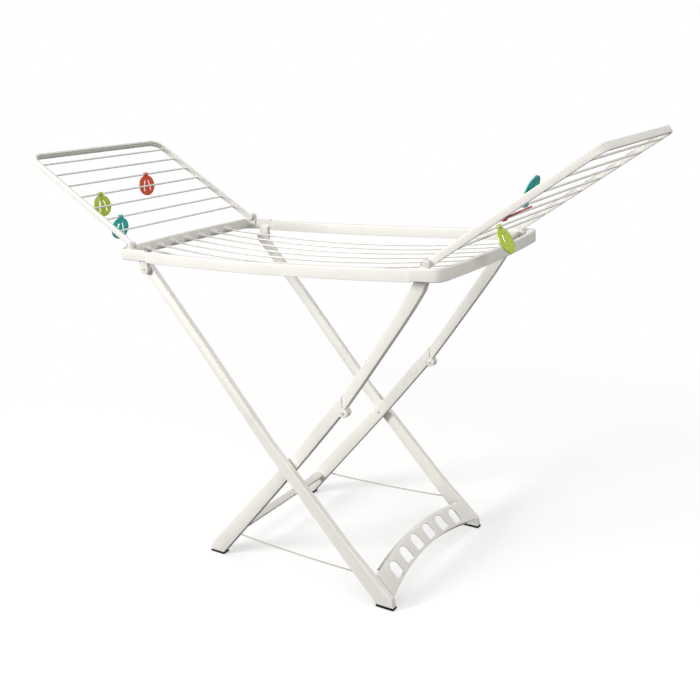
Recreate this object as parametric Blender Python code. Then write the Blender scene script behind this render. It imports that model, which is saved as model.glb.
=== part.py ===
"""Folding clothes airer: a rodded frame, two tilting wings and crossed folding legs.

Units are metres. +X runs along the airer, +Y across it and +Z up. The origin is on the floor
under the middle of the frame. The airer stands open with both wings raised on their stops.
Mirrored pieces are made by loops over SIDES. A leg's outline is drawn in the XZ plane and
extruded along Y.
"""

import math

import bmesh
import bpy
from mathutils import Matrix, Vector

GAP = 0.0004                # clearance between pieces that touch
SIDES = {"front": -1, "rear": 1}
ENDS = {"left": -1, "right": 1}

# Central frame
FRAME_LENGTH = 1.000        # outer length at the corners
FRAME_WIDTH = 0.542         # outer width at the corners
FRAME_TOP = 0.898           # height of the corners above the floor
RAIL_HEIGHT = 0.029
RAIL_THICKNESS = 0.012
RAIL_BOW = 0.013            # how far a long rail bows outward at mid length
RAIL_SAG = 0.008            # how far a long rail dips at mid length
END_BOW = 0.015             # how far an end member bows outward at mid width
CORNER_RADIUS = 0.022
CASTING_REACH_X = {"left": 0.392, "right": 0.424}
CASTING_REACH_Y = 0.236
EDGE_ROUND = 0.0022         # rounding along a moulded band's edges

# Centre rods
CENTRE_ROD_PITCH = 0.057
CENTRE_ROD_COUNT = 7
CENTRE_ROD_HEIGHT = 0.8795  # height of the rods' ends
CENTRE_ROD_SAG = 0.0265
CENTRE_ROD_SPREAD = 0.075   # share by which the rods fan out at mid length
ROD_RADIUS = 0.0026
SLEEVE_ROOT_RADIUS = 0.0092
SLEEVE_TIP_RADIUS = 0.0062
SLEEVE_LENGTH = 0.022

# Wings, in the wing's own frame: s outward from the hinge, n square to the wing
HINGE_X = 0.457
HINGE_Z = 0.908
WING_TILT = math.radians(32.5)
WING_REACH = 0.452
WING_OUTER_Y = 0.254
WING_CORNER_RADIUS = 0.036
ARM_START = -0.0012
ARM_THICKNESS = 0.0078
ARM_BOTTOM = -0.0125
ARM_TOP = 0.0055
WING_ROD_START = 0.075
WING_ROD_PITCH = 0.0564
WING_ROD_COUNT = 7
WING_ROD_OFFSET = -0.009
HINGE_STUB_RADIUS = 0.0040
HINGE_EYE_RADIUS = 0.0044
HINGE_EAR_RADIUS = 0.0095
WING_EYE_RADIUS = 0.0085
HINGE_EAR_Y = (0.2565, 0.2690)

# Clips on the wing rods: end, rod number, place along the rod, lean below level, colour
CLIPS = {
    "clip_orange": ("left", 4, 0.070, 90, "orange"),
    "clip_lime": ("left", 3, -0.160, 86, "lime"),
    "clip_teal": ("left", 1, -0.180, 104, "teal"),
    "clip_teal_right": ("right", 3, -0.211, 246, "teal"),
    "clip_red_right": ("right", 2, -0.208, 204, "red"),
    "clip_lime_right": ("right", 1, -0.130, 118, "lime"),
}
CLIP_RADIUS = 0.0310
CLIP_THICKNESS = 0.0030
CLIP_HANG = 0.0340          # rod axis to the disc's centre
CLIP_HOOK_OUTER = 0.0056
CLIP_HOOK_INNER = 0.0030
CLIP_HOOK_WIDTH = 0.0120
CLIP_HOOK_MOUTH = 0.0042
CLIP_SLOT_WIDTH = 0.0044
CLIP_SLOT_LENGTH = 0.0340

# Leg pivots in the XZ plane
TOP_PIVOT = (-0.412, 0.846)
CROSSING = (0.0077, 0.3308)
KNUCKLE = (0.1925, 0.5112)
LINK_PIVOT = (0.4375, 0.880)
OUTER_LEG_Y = (0.2375, 0.2540)
INNER_LEG_Y = (0.2135, 0.2350)
KNUCKLE_SPLIT_Y = 0.2243
EAR_PLATE_Y = (0.2545, 0.2665)
LINK_LUG_Y = (0.2355, 0.2640)
FOOT_HEIGHT = 0.006
FOOT_LAP = 0.0012           # how far a foot pad stands proud of its leg
KNUCKLE_EAR_RADIUS = 0.013
TOP_EAR_RADIUS = 0.015
PIN_RADIUS = 0.0030
PIN_HOLE_RADIUS = 0.0034
PIN_HEAD_RADIUS = 0.0046

# Edges of the legs from the top down, ending at the sole
OUTER_LEG_UPPER_EDGE = ((-0.244, 0.6655), (-0.034, 0.402), (0.094, 0.262), (0.201, 0.144),
                        (0.3165, 0.032), (0.322, 0.0))
OUTER_LEG_LOWER_EDGE = ((-0.2548, 0.6307), (-0.0543, 0.3757), (0.0529, 0.2532),
                        (0.178, 0.109), (0.258, 0.020), (0.275, 0.0))
INNER_LEG_UPPER_EDGE = ((0.1531, 0.516), (0.0476, 0.3971), (-0.0234, 0.3209),
                        (-0.1463, 0.1967), (-0.3125, 0.0237), (-0.3160, 0.0))
INNER_LEG_LOWER_EDGE = ((0.1783, 0.4956), (0.0724, 0.3756), (-0.0015, 0.2940), (-0.2727, 0.0))
# Stations of the upper link: x, z, half width
UPPER_LINK = ((0.1720, 0.5180, 0.0128), (0.2435, 0.600, 0.0130), (0.346, 0.737, 0.0142),
              (0.388, 0.795, 0.0150), (0.4205, 0.8437, 0.0155), (0.4375, 0.880, 0.0125))

# Arched spreader panel between the outer legs, in its own plane: t up the slope from the floor
PANEL_FOOT = (0.3465, 0.0)
PANEL_SLOPE = (-0.693, 0.721)
PANEL_HALF_SPAN = 0.237
PANEL_LOW = (0.042, 0.039)  # lower edge at the legs, and its rise at mid span
PANEL_HIGH = (0.113, 0.031)
PANEL_THICKNESS = 0.003
PANEL_FLANGE = 0.022
PANEL_FLANGE_SPAN = 0.205   # the flanges stop short of the inner legs' path
PANEL_LIP_ROUND = 0.011
SLOT_COUNT = 6
SLOT_PITCH = 0.0664
SLOT_WIDTH = 0.035
SLOT_HEIGHT = 0.045
SLOT_SILL = 0.008

# Cross bar between the inner legs: u up the leg's lower edge, v behind it
INNER_EDGE_FOOT = (-0.2727, 0.0)
INNER_EDGE_SLOPE = (0.678, 0.735)
BAR_U = (0.0654, 0.0860)
BAR_V = (0.0124, 0.0330)
BAR_WALL = 0.003
BAR_POCKETS = 6
BAR_RIB = 0.005

# Tie cords from the inner legs to the outer legs
CORD_RADIUS = 0.0022
CORD_FROM = (-0.1974, 0.2285, 0.0790)
CORD_TO = (0.2032, 0.2455, 0.0780)
CORD_DROOP = 0.004
CORD_POINTS = 30


def clear_scene():
    """Remove every object that the scene holds."""
    for item in list(bpy.data.objects):
        bpy.data.objects.remove(item)


def make_material(name, color, roughness):
    """Make a plain Principled material."""
    material = bpy.data.materials.new(name)
    material.use_nodes = True
    shader = material.node_tree.nodes["Principled BSDF"]
    shader.inputs["Base Color"].default_value = (*color, 1.0)
    shader.inputs["Roughness"].default_value = roughness
    shader.inputs["Metallic"].default_value = 0.0
    material.diffuse_color = (*color, 1.0)
    return material


def make_pivot(name, location, rotation=(0.0, 0.0, 0.0), parent=None):
    """Make an empty on a joint's axis; location is in world space."""
    empty = bpy.data.objects.new(name, None)
    empty.empty_display_size = 0.03
    bpy.context.collection.objects.link(empty)
    empty.parent = parent
    offset = parent["axis_point"] if parent else (0.0, 0.0, 0.0)
    empty.location = Vector(location) - Vector(offset)
    empty.rotation_euler = rotation
    empty["axis_point"] = tuple(location)
    return empty


def finish(name, bm, material, parent=None, local=False):
    """Turn a bmesh into an object under its pivot; world coordinates unless local is set."""
    bmesh.ops.recalc_face_normals(bm, faces=bm.faces)
    mesh = bpy.data.meshes.new(name)
    bm.to_mesh(mesh)
    bm.free()
    if parent and not local:
        mesh.transform(Matrix.Translation(-Vector(parent["axis_point"])))
    mesh.materials.append(material)
    mesh.shade_smooth()
    mesh.set_sharp_from_angle(angle=math.radians(35))
    item = bpy.data.objects.new(name, mesh)
    item.parent = parent
    bpy.context.collection.objects.link(item)
    return item


def bevel(item, width, segments=1):
    """Round an object's sharp edges."""
    modifier = item.modifiers.new("round_edges", "BEVEL")
    modifier.width = width
    modifier.segments = segments
    modifier.limit_method = "ANGLE"
    modifier.angle_limit = math.radians(40)


def boolean(item, other, operation):
    """Join a shape to an object or cut it away, and keep the shape as a hidden guide."""
    other.hide_render = True
    other.display_type = "WIRE"
    modifier = item.modifiers.new(operation.lower(), "BOOLEAN")
    modifier.operation = operation
    modifier.solver = "EXACT"
    modifier.object = other


def extrude_outline(bm, outline, y_start, y_end):
    """Extrude a closed XZ outline along Y."""
    face = bm.faces.new([bm.verts.new((x, y_start, z)) for x, z in outline])
    grown = bmesh.ops.extrude_face_region(bm, geom=[face])["geom"]
    moved = [part for part in grown if isinstance(part, bmesh.types.BMVert)]
    bmesh.ops.translate(bm, verts=moved, vec=(0.0, y_end - y_start, 0.0))


def prism(name, outline, y_span, side, material, parent=None):
    """Extrude an outline between two distances from the middle plane, on one side."""
    bm = bmesh.new()
    extrude_outline(bm, outline, side * y_span[0], side * y_span[1])
    return finish(name, bm, material, parent)


def loft(bm, rings):
    """Bridge closed rings of equal length and cap both ends."""
    rows = [[bm.verts.new(point) for point in ring] for ring in rings]
    count = len(rows[0])
    for low, high in zip(rows, rows[1:]):
        for i in range(count):
            j = (i + 1) % count
            bm.faces.new((low[i], low[j], high[j], high[i]))
    bm.faces.new(rows[0])
    bm.faces.new(rows[-1])


def arc(center, radius, start, end, steps):
    """Points on an arc, with angles in degrees."""
    points = []
    for i in range(steps + 1):
        angle = math.radians(start + (end - start) * i / steps)
        points.append((center[0] + radius * math.cos(angle), center[1] + radius * math.sin(angle)))
    return points


def disc(center, radius, steps=20):
    """A closed circle of points."""
    return arc(center, radius, 0, 360 * (steps - 1) / steps, steps - 1)


def turned(name, profile, location, side, material, parent=None):
    """Turn (radius, distance) points about a line along Y; distances run outward on one side."""
    bm = bmesh.new()
    chain = [bm.verts.new((radius, side * distance, 0.0)) for radius, distance in profile]
    edges = [bm.edges.new(pair) for pair in zip(chain, chain[1:])]
    bmesh.ops.spin(bm, geom=chain + edges, cent=(0, 0, 0), axis=(0, 1, 0),
                   angle=math.tau, steps=14, use_merge=True)
    bmesh.ops.remove_doubles(bm, verts=bm.verts, dist=0.00001)
    bmesh.ops.translate(bm, verts=bm.verts, vec=(location[0], 0.0, location[1]))
    return finish(name, bm, material, parent)


def rounded_box_ring(half_width, half_height, radius):
    """The section of a moulded band: a rectangle with rounded corners."""
    ring = []
    corners = ((1, 1, 0), (-1, 1, 90), (-1, -1, 180), (1, -1, 270))
    for sign_u, sign_v, start in corners:
        center = (sign_u * (half_width - radius), sign_v * (half_height - radius))
        ring += arc(center, radius, start, start + 90, 1)
    return ring


def sweep_band(bm, path, thickness, height_span):
    """Sweep a rounded band along a plan path of (x, y); height_span(x, y) gives bottom and top."""
    rings = []
    for i, point in enumerate(path):
        before = Vector(path[max(i - 1, 0)])
        after = Vector(path[min(i + 1, len(path) - 1)])
        along = (after - before).normalized()
        inward = Vector((-along.y, along.x))
        bottom, top = height_span(*point)
        section = rounded_box_ring(thickness / 2, (top - bottom) / 2, EDGE_ROUND)
        middle = Vector(point) + inward * thickness / 2
        ring = []
        for u, v in section:
            spot = middle + inward * u
            ring.append((spot.x, spot.y, (top + bottom) / 2 + v))
        rings.append(ring)
    loft(bm, rings)


def bulge(position, half_length):
    """1 in the middle of a span and 0 at its ends."""
    return 1.0 - (position / half_length) ** 2


def rail_y(x):
    """Outer face of a long rail, as a distance from the middle plane."""
    return FRAME_WIDTH / 2 + RAIL_BOW * bulge(x, FRAME_LENGTH / 2)


def end_x(y):
    """Outer face of an end member, as a distance from the middle."""
    return FRAME_LENGTH / 2 + END_BOW * bulge(y, FRAME_WIDTH / 2)


def rail_heights(x, _y):
    """Bottom and top of a long rail."""
    top = FRAME_TOP - RAIL_SAG * bulge(x, FRAME_LENGTH / 2)
    return top - RAIL_HEIGHT, top


def end_heights(_x, _y):
    """Bottom and top of an end member."""
    return FRAME_TOP - RAIL_HEIGHT, FRAME_TOP


def build_rails(materials):
    """The two long rails, bowed outward and dipping at mid length."""
    steps = 12
    start = CASTING_REACH_X["left"] - GAP
    end = CASTING_REACH_X["right"] - GAP
    for name, side in SIDES.items():
        xs = [-start + (start + end) * i / steps for i in range(steps + 1)]
        path = [(x, side * rail_y(x)) for x in xs]
        if side > 0:
            path.reverse()
        bm = bmesh.new()
        sweep_band(bm, path, RAIL_THICKNESS, rail_heights)
        finish("rail_" + name, bm, materials["frame"])


def centre_rod_places():
    """Distances of the centre rods from the middle plane, at their ends."""
    first = -(CENTRE_ROD_COUNT - 1) / 2
    return [(first + i) * CENTRE_ROD_PITCH for i in range(CENTRE_ROD_COUNT)]


def build_end_members(materials):
    """The two end members, each with a tapered sleeve for every centre rod on its inner face."""
    steps = 10
    reach = CASTING_REACH_Y - GAP
    for name, end in ENDS.items():
        ys = [-reach + 2 * reach * i / steps for i in range(steps + 1)]
        path = [(end * end_x(y), y) for y in ys]
        if end < 0:
            path.reverse()
        bm = bmesh.new()
        sweep_band(bm, path, RAIL_THICKNESS, end_heights)
        member = finish("end_member_" + name, bm, materials["frame"])
        sleeves = bmesh.new()
        for y in centre_rod_places():
            face = end_x(y) - RAIL_THICKNESS
            span = SLEEVE_LENGTH + RAIL_THICKNESS / 2
            middle = end * (face + RAIL_THICKNESS / 2 - span / 2)
            place = Matrix.Translation((middle, y, CENTRE_ROD_HEIGHT))
            turn = Matrix.Rotation(-end * math.pi / 2, 4, "Y")
            bmesh.ops.create_cone(sleeves, cap_ends=True, segments=12, radius1=SLEEVE_ROOT_RADIUS,
                                  radius2=SLEEVE_TIP_RADIUS, depth=span, matrix=place @ turn)
        boolean(member, finish("rod_sleeves_" + name, sleeves, materials["frame"]), "UNION")


def build_centre_rods(materials):
    """The seven centre rods, each sagging and fanning out a little."""
    points = 13
    for number, place in enumerate(centre_rod_places()):
        reach = end_x(place) - RAIL_THICKNESS - SLEEVE_LENGTH - GAP
        curve = bpy.data.curves.new("centre_rod_%d" % number, "CURVE")
        curve.dimensions = "3D"
        curve.bevel_depth = ROD_RADIUS
        curve.bevel_resolution = 2
        curve.use_fill_caps = True
        spline = curve.splines.new("POLY")
        spline.points.add(points - 1)
        for i, point in enumerate(spline.points):
            x = -reach + 2 * reach * i / (points - 1)
            y = place * (1 + CENTRE_ROD_SPREAD * bulge(x, reach))
            z = CENTRE_ROD_HEIGHT - CENTRE_ROD_SAG * bulge(x, reach)
            point.co = (x, y, z, 1.0)
        curve.materials.append(materials["rod"])
        rod = bpy.data.objects.new(curve.name, curve)
        bpy.context.collection.objects.link(rod)


def casting_path(end, side):
    """Outer plan line of a corner casting, running round the corner inside the frame's outline."""
    reach = CASTING_REACH_X["left" if end < 0 else "right"]
    straight_x = FRAME_LENGTH / 2 - CORNER_RADIUS
    straight_y = FRAME_WIDTH / 2 - CORNER_RADIUS
    along_rail = [reach + (straight_x - reach) * i / 4 for i in range(4)]
    path = [(x, rail_y(x)) for x in along_rail]
    path += list(reversed(arc((straight_x, straight_y), CORNER_RADIUS, 4, 88, 5)))
    path += [(end_x(y), y) for y in (0.246, CASTING_REACH_Y)]
    path = [(end * x, side * y) for x, y in path]
    if end * side > 0:
        path.reverse()
    return path


def casting_heights(_x, _y):
    """Bottom and top of a corner casting."""
    return FRAME_TOP - RAIL_HEIGHT - 0.0006, FRAME_TOP + 0.0006


def hinge_ear_outline(end):
    """Ear that carries a wing's hinge: a post with a round head."""
    center = (end * HINGE_X, HINGE_Z)
    foot = FRAME_TOP - RAIL_HEIGHT * 0.6
    head = arc(center, HINGE_EAR_RADIUS, 0, 180, 10)
    return head + [(center[0] - HINGE_EAR_RADIUS, foot), (center[0] + HINGE_EAR_RADIUS, foot)]


def top_ear_outline():
    """Ear that hangs below a left casting and carries the outer leg."""
    center = TOP_PIVOT
    head = FRAME_TOP - RAIL_HEIGHT * 0.7
    round_end = arc(center, TOP_EAR_RADIUS, 180, 360, 10)
    return round_end + [(center[0] + TOP_EAR_RADIUS, head), (center[0] - TOP_EAR_RADIUS, head)]


def link_lug_outline():
    """Lug inside a right casting that carries the upper link."""
    low = FRAME_TOP - RAIL_HEIGHT + 0.0008
    return [(0.4265, low), (0.4515, low), (0.4515, 0.8915), (0.4265, 0.8915)]


def build_castings(materials):
    """The four corner castings with their hinge ears, leg ears and link lugs."""
    frame = materials["frame"]
    for end_name, end in ENDS.items():
        for side_name, side in SIDES.items():
            name = "corner_%s_%s" % (end_name, side_name)
            bm = bmesh.new()
            sweep_band(bm, casting_path(end, side), RAIL_THICKNESS, casting_heights)
            casting = finish(name, bm, frame)
            ear = prism("guide_ear_" + name, hinge_ear_outline(end), HINGE_EAR_Y, side, frame)
            boolean(casting, ear, "UNION")
            eye = prism("guide_eye_" + name, disc((end * HINGE_X, HINGE_Z), HINGE_EYE_RADIUS, 12),
                        (HINGE_EAR_Y[0] - 0.002, HINGE_EAR_Y[1] + 0.006), side, frame)
            boolean(casting, eye, "DIFFERENCE")
            if end < 0:
                outline = top_ear_outline()
                span = EAR_PLATE_Y
                pivot = TOP_PIVOT
                hole_span = (EAR_PLATE_Y[0] - 0.002, EAR_PLATE_Y[1] + 0.002)
            else:
                outline = link_lug_outline()
                span = LINK_LUG_Y
                pivot = LINK_PIVOT
                hole_span = (LINK_LUG_Y[0] - 0.002, 0.2510)
            mount = prism("guide_mount_" + name, outline, span, side, frame)
            boolean(casting, mount, "UNION")
            hole = prism("guide_hole_" + name, disc(pivot, PIN_HOLE_RADIUS, 12), hole_span,
                         side, frame)
            boolean(casting, hole, "DIFFERENCE")


def wing_path():
    """Outer plan line of a wing's U frame, from one arm round the end bar to the other."""
    straight = WING_REACH - WING_CORNER_RADIUS
    width = WING_OUTER_Y - WING_CORNER_RADIUS
    path = [(ARM_START, -WING_OUTER_Y), (straight * 0.5, -WING_OUTER_Y)]
    path += arc((straight, -width), WING_CORNER_RADIUS, -90, 0, 6)
    path += arc((straight, width), WING_CORNER_RADIUS, 0, 90, 6)
    path += [(straight * 0.5, WING_OUTER_Y), (ARM_START, WING_OUTER_Y)]
    return path


def wing_heights(_s, _y):
    """Lower and upper face of a wing's frame."""
    return ARM_BOTTOM, ARM_TOP


def wing_inner_reach(s):
    """Free half width inside a wing's frame at a distance from the hinge."""
    into_corner = max(0.0, s - (WING_REACH - WING_CORNER_RADIUS))
    inner_radius = WING_CORNER_RADIUS - ARM_THICKNESS
    narrowing = inner_radius - math.sqrt(inner_radius ** 2 - into_corner ** 2)
    return WING_OUTER_Y - ARM_THICKNESS - narrowing - GAP


def build_wing(end_name, end, materials):
    """One wing: a U frame with hinge stubs and seven rods. Returns its pivot."""
    heading = 0.0 if end > 0 else math.pi
    pivot = make_pivot("pivot_wing_" + end_name, (end * HINGE_X, 0.0, HINGE_Z),
                       (0.0, -WING_TILT, heading))
    bm = bmesh.new()
    sweep_band(bm, wing_path(), ARM_THICKNESS, wing_heights)
    frame = finish("wing_frame_" + end_name, bm, materials["frame"], pivot, local=True)
    eyes = bmesh.new()
    for side in SIDES.values():
        inner = WING_OUTER_Y - ARM_THICKNESS + 0.0006
        extrude_outline(eyes, disc((0, 0), WING_EYE_RADIUS), side * inner,
                        side * (WING_OUTER_Y + 0.0008))
    eye = finish("guide_wing_eyes_" + end_name, eyes, materials["frame"], pivot, local=True)
    boolean(frame, eye, "UNION")
    stubs = bmesh.new()
    for side in SIDES.values():
        extrude_outline(stubs, disc((0, 0), HINGE_STUB_RADIUS, 12),
                        side * (WING_OUTER_Y - 0.004), side * (HINGE_EAR_Y[1] - 0.0008))
    stub = finish("guide_wing_stubs_" + end_name, stubs, materials["frame"], pivot, local=True)
    boolean(frame, stub, "UNION")
    for number in range(WING_ROD_COUNT):
        s = WING_ROD_START + number * WING_ROD_PITCH
        rods = bmesh.new()
        bmesh.ops.create_cone(rods, cap_ends=True, segments=12, radius1=ROD_RADIUS,
                              radius2=ROD_RADIUS, depth=2 * wing_inner_reach(s + ROD_RADIUS),
                              matrix=Matrix.Rotation(math.pi / 2, 4, "X"))
        rod = finish("wing_rod_%s_%d" % (end_name, number), rods, materials["rod"], pivot,
                     local=True)
        rod.location = (s, 0.0, WING_ROD_OFFSET)
    return pivot


def slot_outline(offset, lean):
    """A long slot in a clip's disc, as points across and along the disc."""
    half = CLIP_SLOT_LENGTH / 2 - CLIP_SLOT_WIDTH / 2
    radius = CLIP_SLOT_WIDTH / 2
    points = arc((0.0, half), radius, 0, 180, 4) + arc((0.0, -half), radius, 180, 360, 4)
    cosine, sine = math.cos(lean), math.sin(lean)
    outline = []
    for across, along in points:
        outline.append((offset + across * cosine - along * sine,
                        -CLIP_HANG + across * sine + along * cosine))
    return outline


def extrude_along_x(bm, outline, x_start, x_end):
    """Extrude a closed YZ outline along X."""
    face = bm.faces.new([bm.verts.new((x_start, y, z)) for y, z in outline])
    grown = bmesh.ops.extrude_face_region(bm, geom=[face])["geom"]
    moved = [part for part in grown if isinstance(part, bmesh.types.BMVert)]
    bmesh.ops.translate(bm, verts=moved, vec=(x_end - x_start, 0.0, 0.0))


def build_clip(name, place, pivots, materials):
    """A slotted disc that hangs by a split ring from one wing rod."""
    end_name, rod, y, lean, color = place
    end = ENDS[end_name]
    pivot = pivots[end_name]
    paint = materials[color]
    bm = bmesh.new()
    half = CLIP_THICKNESS / 2
    extrude_along_x(bm, disc((0.0, -CLIP_HANG), CLIP_RADIUS, 28), -half, half)
    clip = finish(name, bm, paint, pivot, local=True)
    ring = bmesh.new()
    extrude_outline(ring, disc((0, 0), CLIP_HOOK_OUTER, 16), -CLIP_HOOK_WIDTH / 2,
                    CLIP_HOOK_WIDTH / 2)
    cuts = bmesh.new()
    extrude_outline(cuts, disc((0, 0), CLIP_HOOK_INNER, 16), -CLIP_RADIUS, CLIP_RADIUS)
    mouth_low = -CLIP_HOOK_MOUTH / 2
    mouth = [(0, mouth_low), (CLIP_HOOK_OUTER * 2, mouth_low),
             (CLIP_HOOK_OUTER * 2, -mouth_low), (0, -mouth_low)]
    split = bmesh.new()
    extrude_outline(split, mouth, -CLIP_RADIUS, CLIP_RADIUS)
    slots = bmesh.new()
    for sign in (-1, 1):
        extrude_along_x(slots, slot_outline(sign * CLIP_RADIUS * 0.36, sign * 0.2),
                        -CLIP_THICKNESS, CLIP_THICKNESS)
    shapes = (("ring", ring, "UNION"), ("bore", cuts, "DIFFERENCE"),
              ("mouth", split, "DIFFERENCE"), ("slots", slots, "DIFFERENCE"))
    for label, shape, operation in shapes:
        guide = finish("guide_%s_%s" % (name, label), shape, paint, clip, local=True)
        boolean(clip, guide, operation)
    clip.location = (WING_ROD_START + rod * WING_ROD_PITCH, end * y, WING_ROD_OFFSET)
    clip.rotation_euler = (0.0, math.pi / 2 - math.radians(lean) + WING_TILT, 0.0)


def offset_sides(stations):
    """Left and right edge points of a bar that follows stations of (x, z, half width)."""
    left, right = [], []
    for i, (x, z, half) in enumerate(stations):
        before = stations[max(i - 1, 0)]
        after = stations[min(i + 1, len(stations) - 1)]
        along = Vector((after[0] - before[0], after[1] - before[1])).normalized()
        left.append((x - along.y * half, z + along.x * half))
        right.append((x + along.y * half, z - along.x * half))
    return left, right


def cut_level(edge, height):
    """Shorten an edge so that it ends at a height."""
    (x0, z0), (x1, z1) = edge[-2:]
    share = (height - z0) / (z1 - z0)
    return list(edge[:-1]) + [(x0 + (x1 - x0) * share, height)]


def foot_outline(edges):
    """A rubber pad under a leg, a little wider than the leg's end."""
    low, high = sorted(edge[-1][0] for edge in edges)
    low -= FOOT_LAP
    high += FOOT_LAP
    top = FOOT_HEIGHT - GAP
    return [(low + 0.001, 0.0), (high - 0.001, 0.0), (high, 0.0015), (high, top), (low, top),
            (low, 0.0015)]


def build_outer_legs(pivot, materials):
    """The outer legs with their rubber feet."""
    upper = cut_level(OUTER_LEG_UPPER_EDGE, FOOT_HEIGHT)
    lower = cut_level(OUTER_LEG_LOWER_EDGE, FOOT_HEIGHT)
    cap = arc(TOP_PIVOT, TOP_EAR_RADIUS, 219, 39, 9)
    outline = cap + upper + lower[::-1]
    for name, side in SIDES.items():
        leg = prism("outer_leg_" + name, outline, OUTER_LEG_Y, side, materials["leg"], pivot)
        bevel(leg, 0.0016)
        hole = prism("guide_outer_leg_hole_" + name, disc(CROSSING, PIN_HOLE_RADIUS, 12),
                     (OUTER_LEG_Y[0] - 0.002, 0.2505), side, materials["leg"], pivot)
        boolean(leg, hole, "DIFFERENCE")
        span = (OUTER_LEG_Y[0], OUTER_LEG_Y[1] + FOOT_LAP)
        prism("foot_outer_" + name, foot_outline((upper, lower)), span, side,
              materials["rubber"], pivot)


def knuckle_shape(name, item, side, keep_span, cut_span, material, pivot):
    """Give a bar's end its half of the lapped knuckle, with a pin hole."""
    ear = prism("guide_ear_" + name, disc(KNUCKLE, KNUCKLE_EAR_RADIUS), keep_span, side,
                material, pivot)
    relief = prism("guide_relief_" + name, disc(KNUCKLE, KNUCKLE_EAR_RADIUS + 0.0006),
                   cut_span, side, material, pivot)
    hole = prism("guide_hole_" + name, disc(KNUCKLE, PIN_HOLE_RADIUS, 12), (0.20, 0.25), side,
                 material, pivot)
    boolean(item, relief, "DIFFERENCE")
    boolean(item, ear, "UNION")
    boolean(item, hole, "DIFFERENCE")


def build_inner_legs(pivot, materials):
    """The inner legs up to the knuckle, with their rubber feet."""
    upper = cut_level(INNER_LEG_UPPER_EDGE, FOOT_HEIGHT)
    lower = cut_level(INNER_LEG_LOWER_EDGE, FOOT_HEIGHT)
    seam = KNUCKLE[0] - GAP
    outline = [(seam, KNUCKLE[1]), (seam - 0.002, 0.5545)] + upper + lower[::-1]
    outer_half = (KNUCKLE_SPLIT_Y + GAP, INNER_LEG_Y[1])
    inner_half = (INNER_LEG_Y[0] - 0.002, KNUCKLE_SPLIT_Y + GAP)
    for name, side in SIDES.items():
        leg = prism("inner_leg_" + name, outline, INNER_LEG_Y, side, materials["leg"], pivot)
        bevel(leg, 0.0016)
        knuckle_shape("inner_leg_" + name, leg, side, outer_half, inner_half,
                      materials["leg"], pivot)
        hole = prism("guide_crossing_" + name, disc(CROSSING, PIN_HOLE_RADIUS, 12),
                     (0.20, 0.25), side, materials["leg"], pivot)
        boolean(leg, hole, "DIFFERENCE")
        span = (INNER_LEG_Y[0] - FOOT_LAP, INNER_LEG_Y[1])
        prism("foot_inner_" + name, foot_outline((upper, lower)), span, side,
              materials["rubber"], pivot)


def build_upper_links(pivot, materials):
    """The links from the knuckles up to the frame."""
    left, right = offset_sides(UPPER_LINK)
    seam = KNUCKLE[0] + GAP
    cap = arc(LINK_PIVOT, UPPER_LINK[-1][2], 155, -25, 10)
    lower = [(seam, 0.5560), (seam, KNUCKLE[1] + 0.003)]
    outline = left[1:-1] + cap + list(reversed(right[1:-1])) + list(reversed(lower))
    inner_half = (INNER_LEG_Y[0], KNUCKLE_SPLIT_Y - GAP)
    outer_half = (KNUCKLE_SPLIT_Y - GAP, INNER_LEG_Y[1] + 0.002)
    for name, side in SIDES.items():
        link = prism("upper_link_" + name, outline, INNER_LEG_Y, side, materials["leg"], pivot)
        bevel(link, 0.0016)
        knuckle_shape("upper_link_" + name, link, side, inner_half, outer_half,
                      materials["leg"], pivot)
        hole = prism("guide_top_hole_" + name, disc(LINK_PIVOT, PIN_HOLE_RADIUS, 12),
                     (0.20, 0.25), side, materials["leg"], pivot)
        boolean(link, hole, "DIFFERENCE")


def pin_profile(start, end, heads):
    """Half section of a pivot pin, with a low domed head at each end that has one."""
    head = PIN_HEAD_RADIUS
    profile = [(0.0, start), (PIN_RADIUS, start)]
    if "inner" in heads:
        profile = [(0.0, start - 0.0020), (head * 0.7, start - 0.0018), (head, start - 0.0010),
                   (head, start), (PIN_RADIUS, start)]
    profile.append((PIN_RADIUS, end))
    if "outer" in heads:
        profile += [(head, end), (head, end + 0.0008), (head * 0.7, end + 0.0014),
                    (0.0, end + 0.0016)]
    else:
        profile.append((0.0, end))
    return profile


def build_pins(pivots, materials):
    """The pivot pins of both leg frames."""
    pins = (
        ("pin_top_pivot", TOP_PIVOT, EAR_PLATE_Y[0] + 0.0002, EAR_PLATE_Y[1] + GAP, ("outer",),
         None),
        ("pin_link", LINK_PIVOT, INNER_LEG_Y[0] - GAP, 0.2505, ("inner",), None),
        ("pin_knuckle", KNUCKLE, INNER_LEG_Y[0] - GAP, INNER_LEG_Y[1] + GAP,
         ("inner", "outer"), pivots["upper"]),
        ("pin_crossing", CROSSING, INNER_LEG_Y[0] - GAP, 0.2500, ("inner",), pivots["inner"]),
    )
    for label, center, start, end, heads, pivot in pins:
        for name, side in SIDES.items():
            turned("%s_%s" % (label, name), pin_profile(start, end, heads), center, side,
                   materials["pin"], pivot)


def panel_edge(limits, y):
    """An arched edge of the panel, as a distance up its slope."""
    return limits[0] + limits[1] * bulge(y, 0.24)


def panel_point(y, t, n):
    """Point of the panel: y across, t up its slope and n out of its face."""
    slope_x, slope_z = PANEL_SLOPE
    return (PANEL_FOOT[0] + slope_x * t + slope_z * n, y,
            PANEL_FOOT[1] + slope_z * t - slope_x * n)


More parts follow.
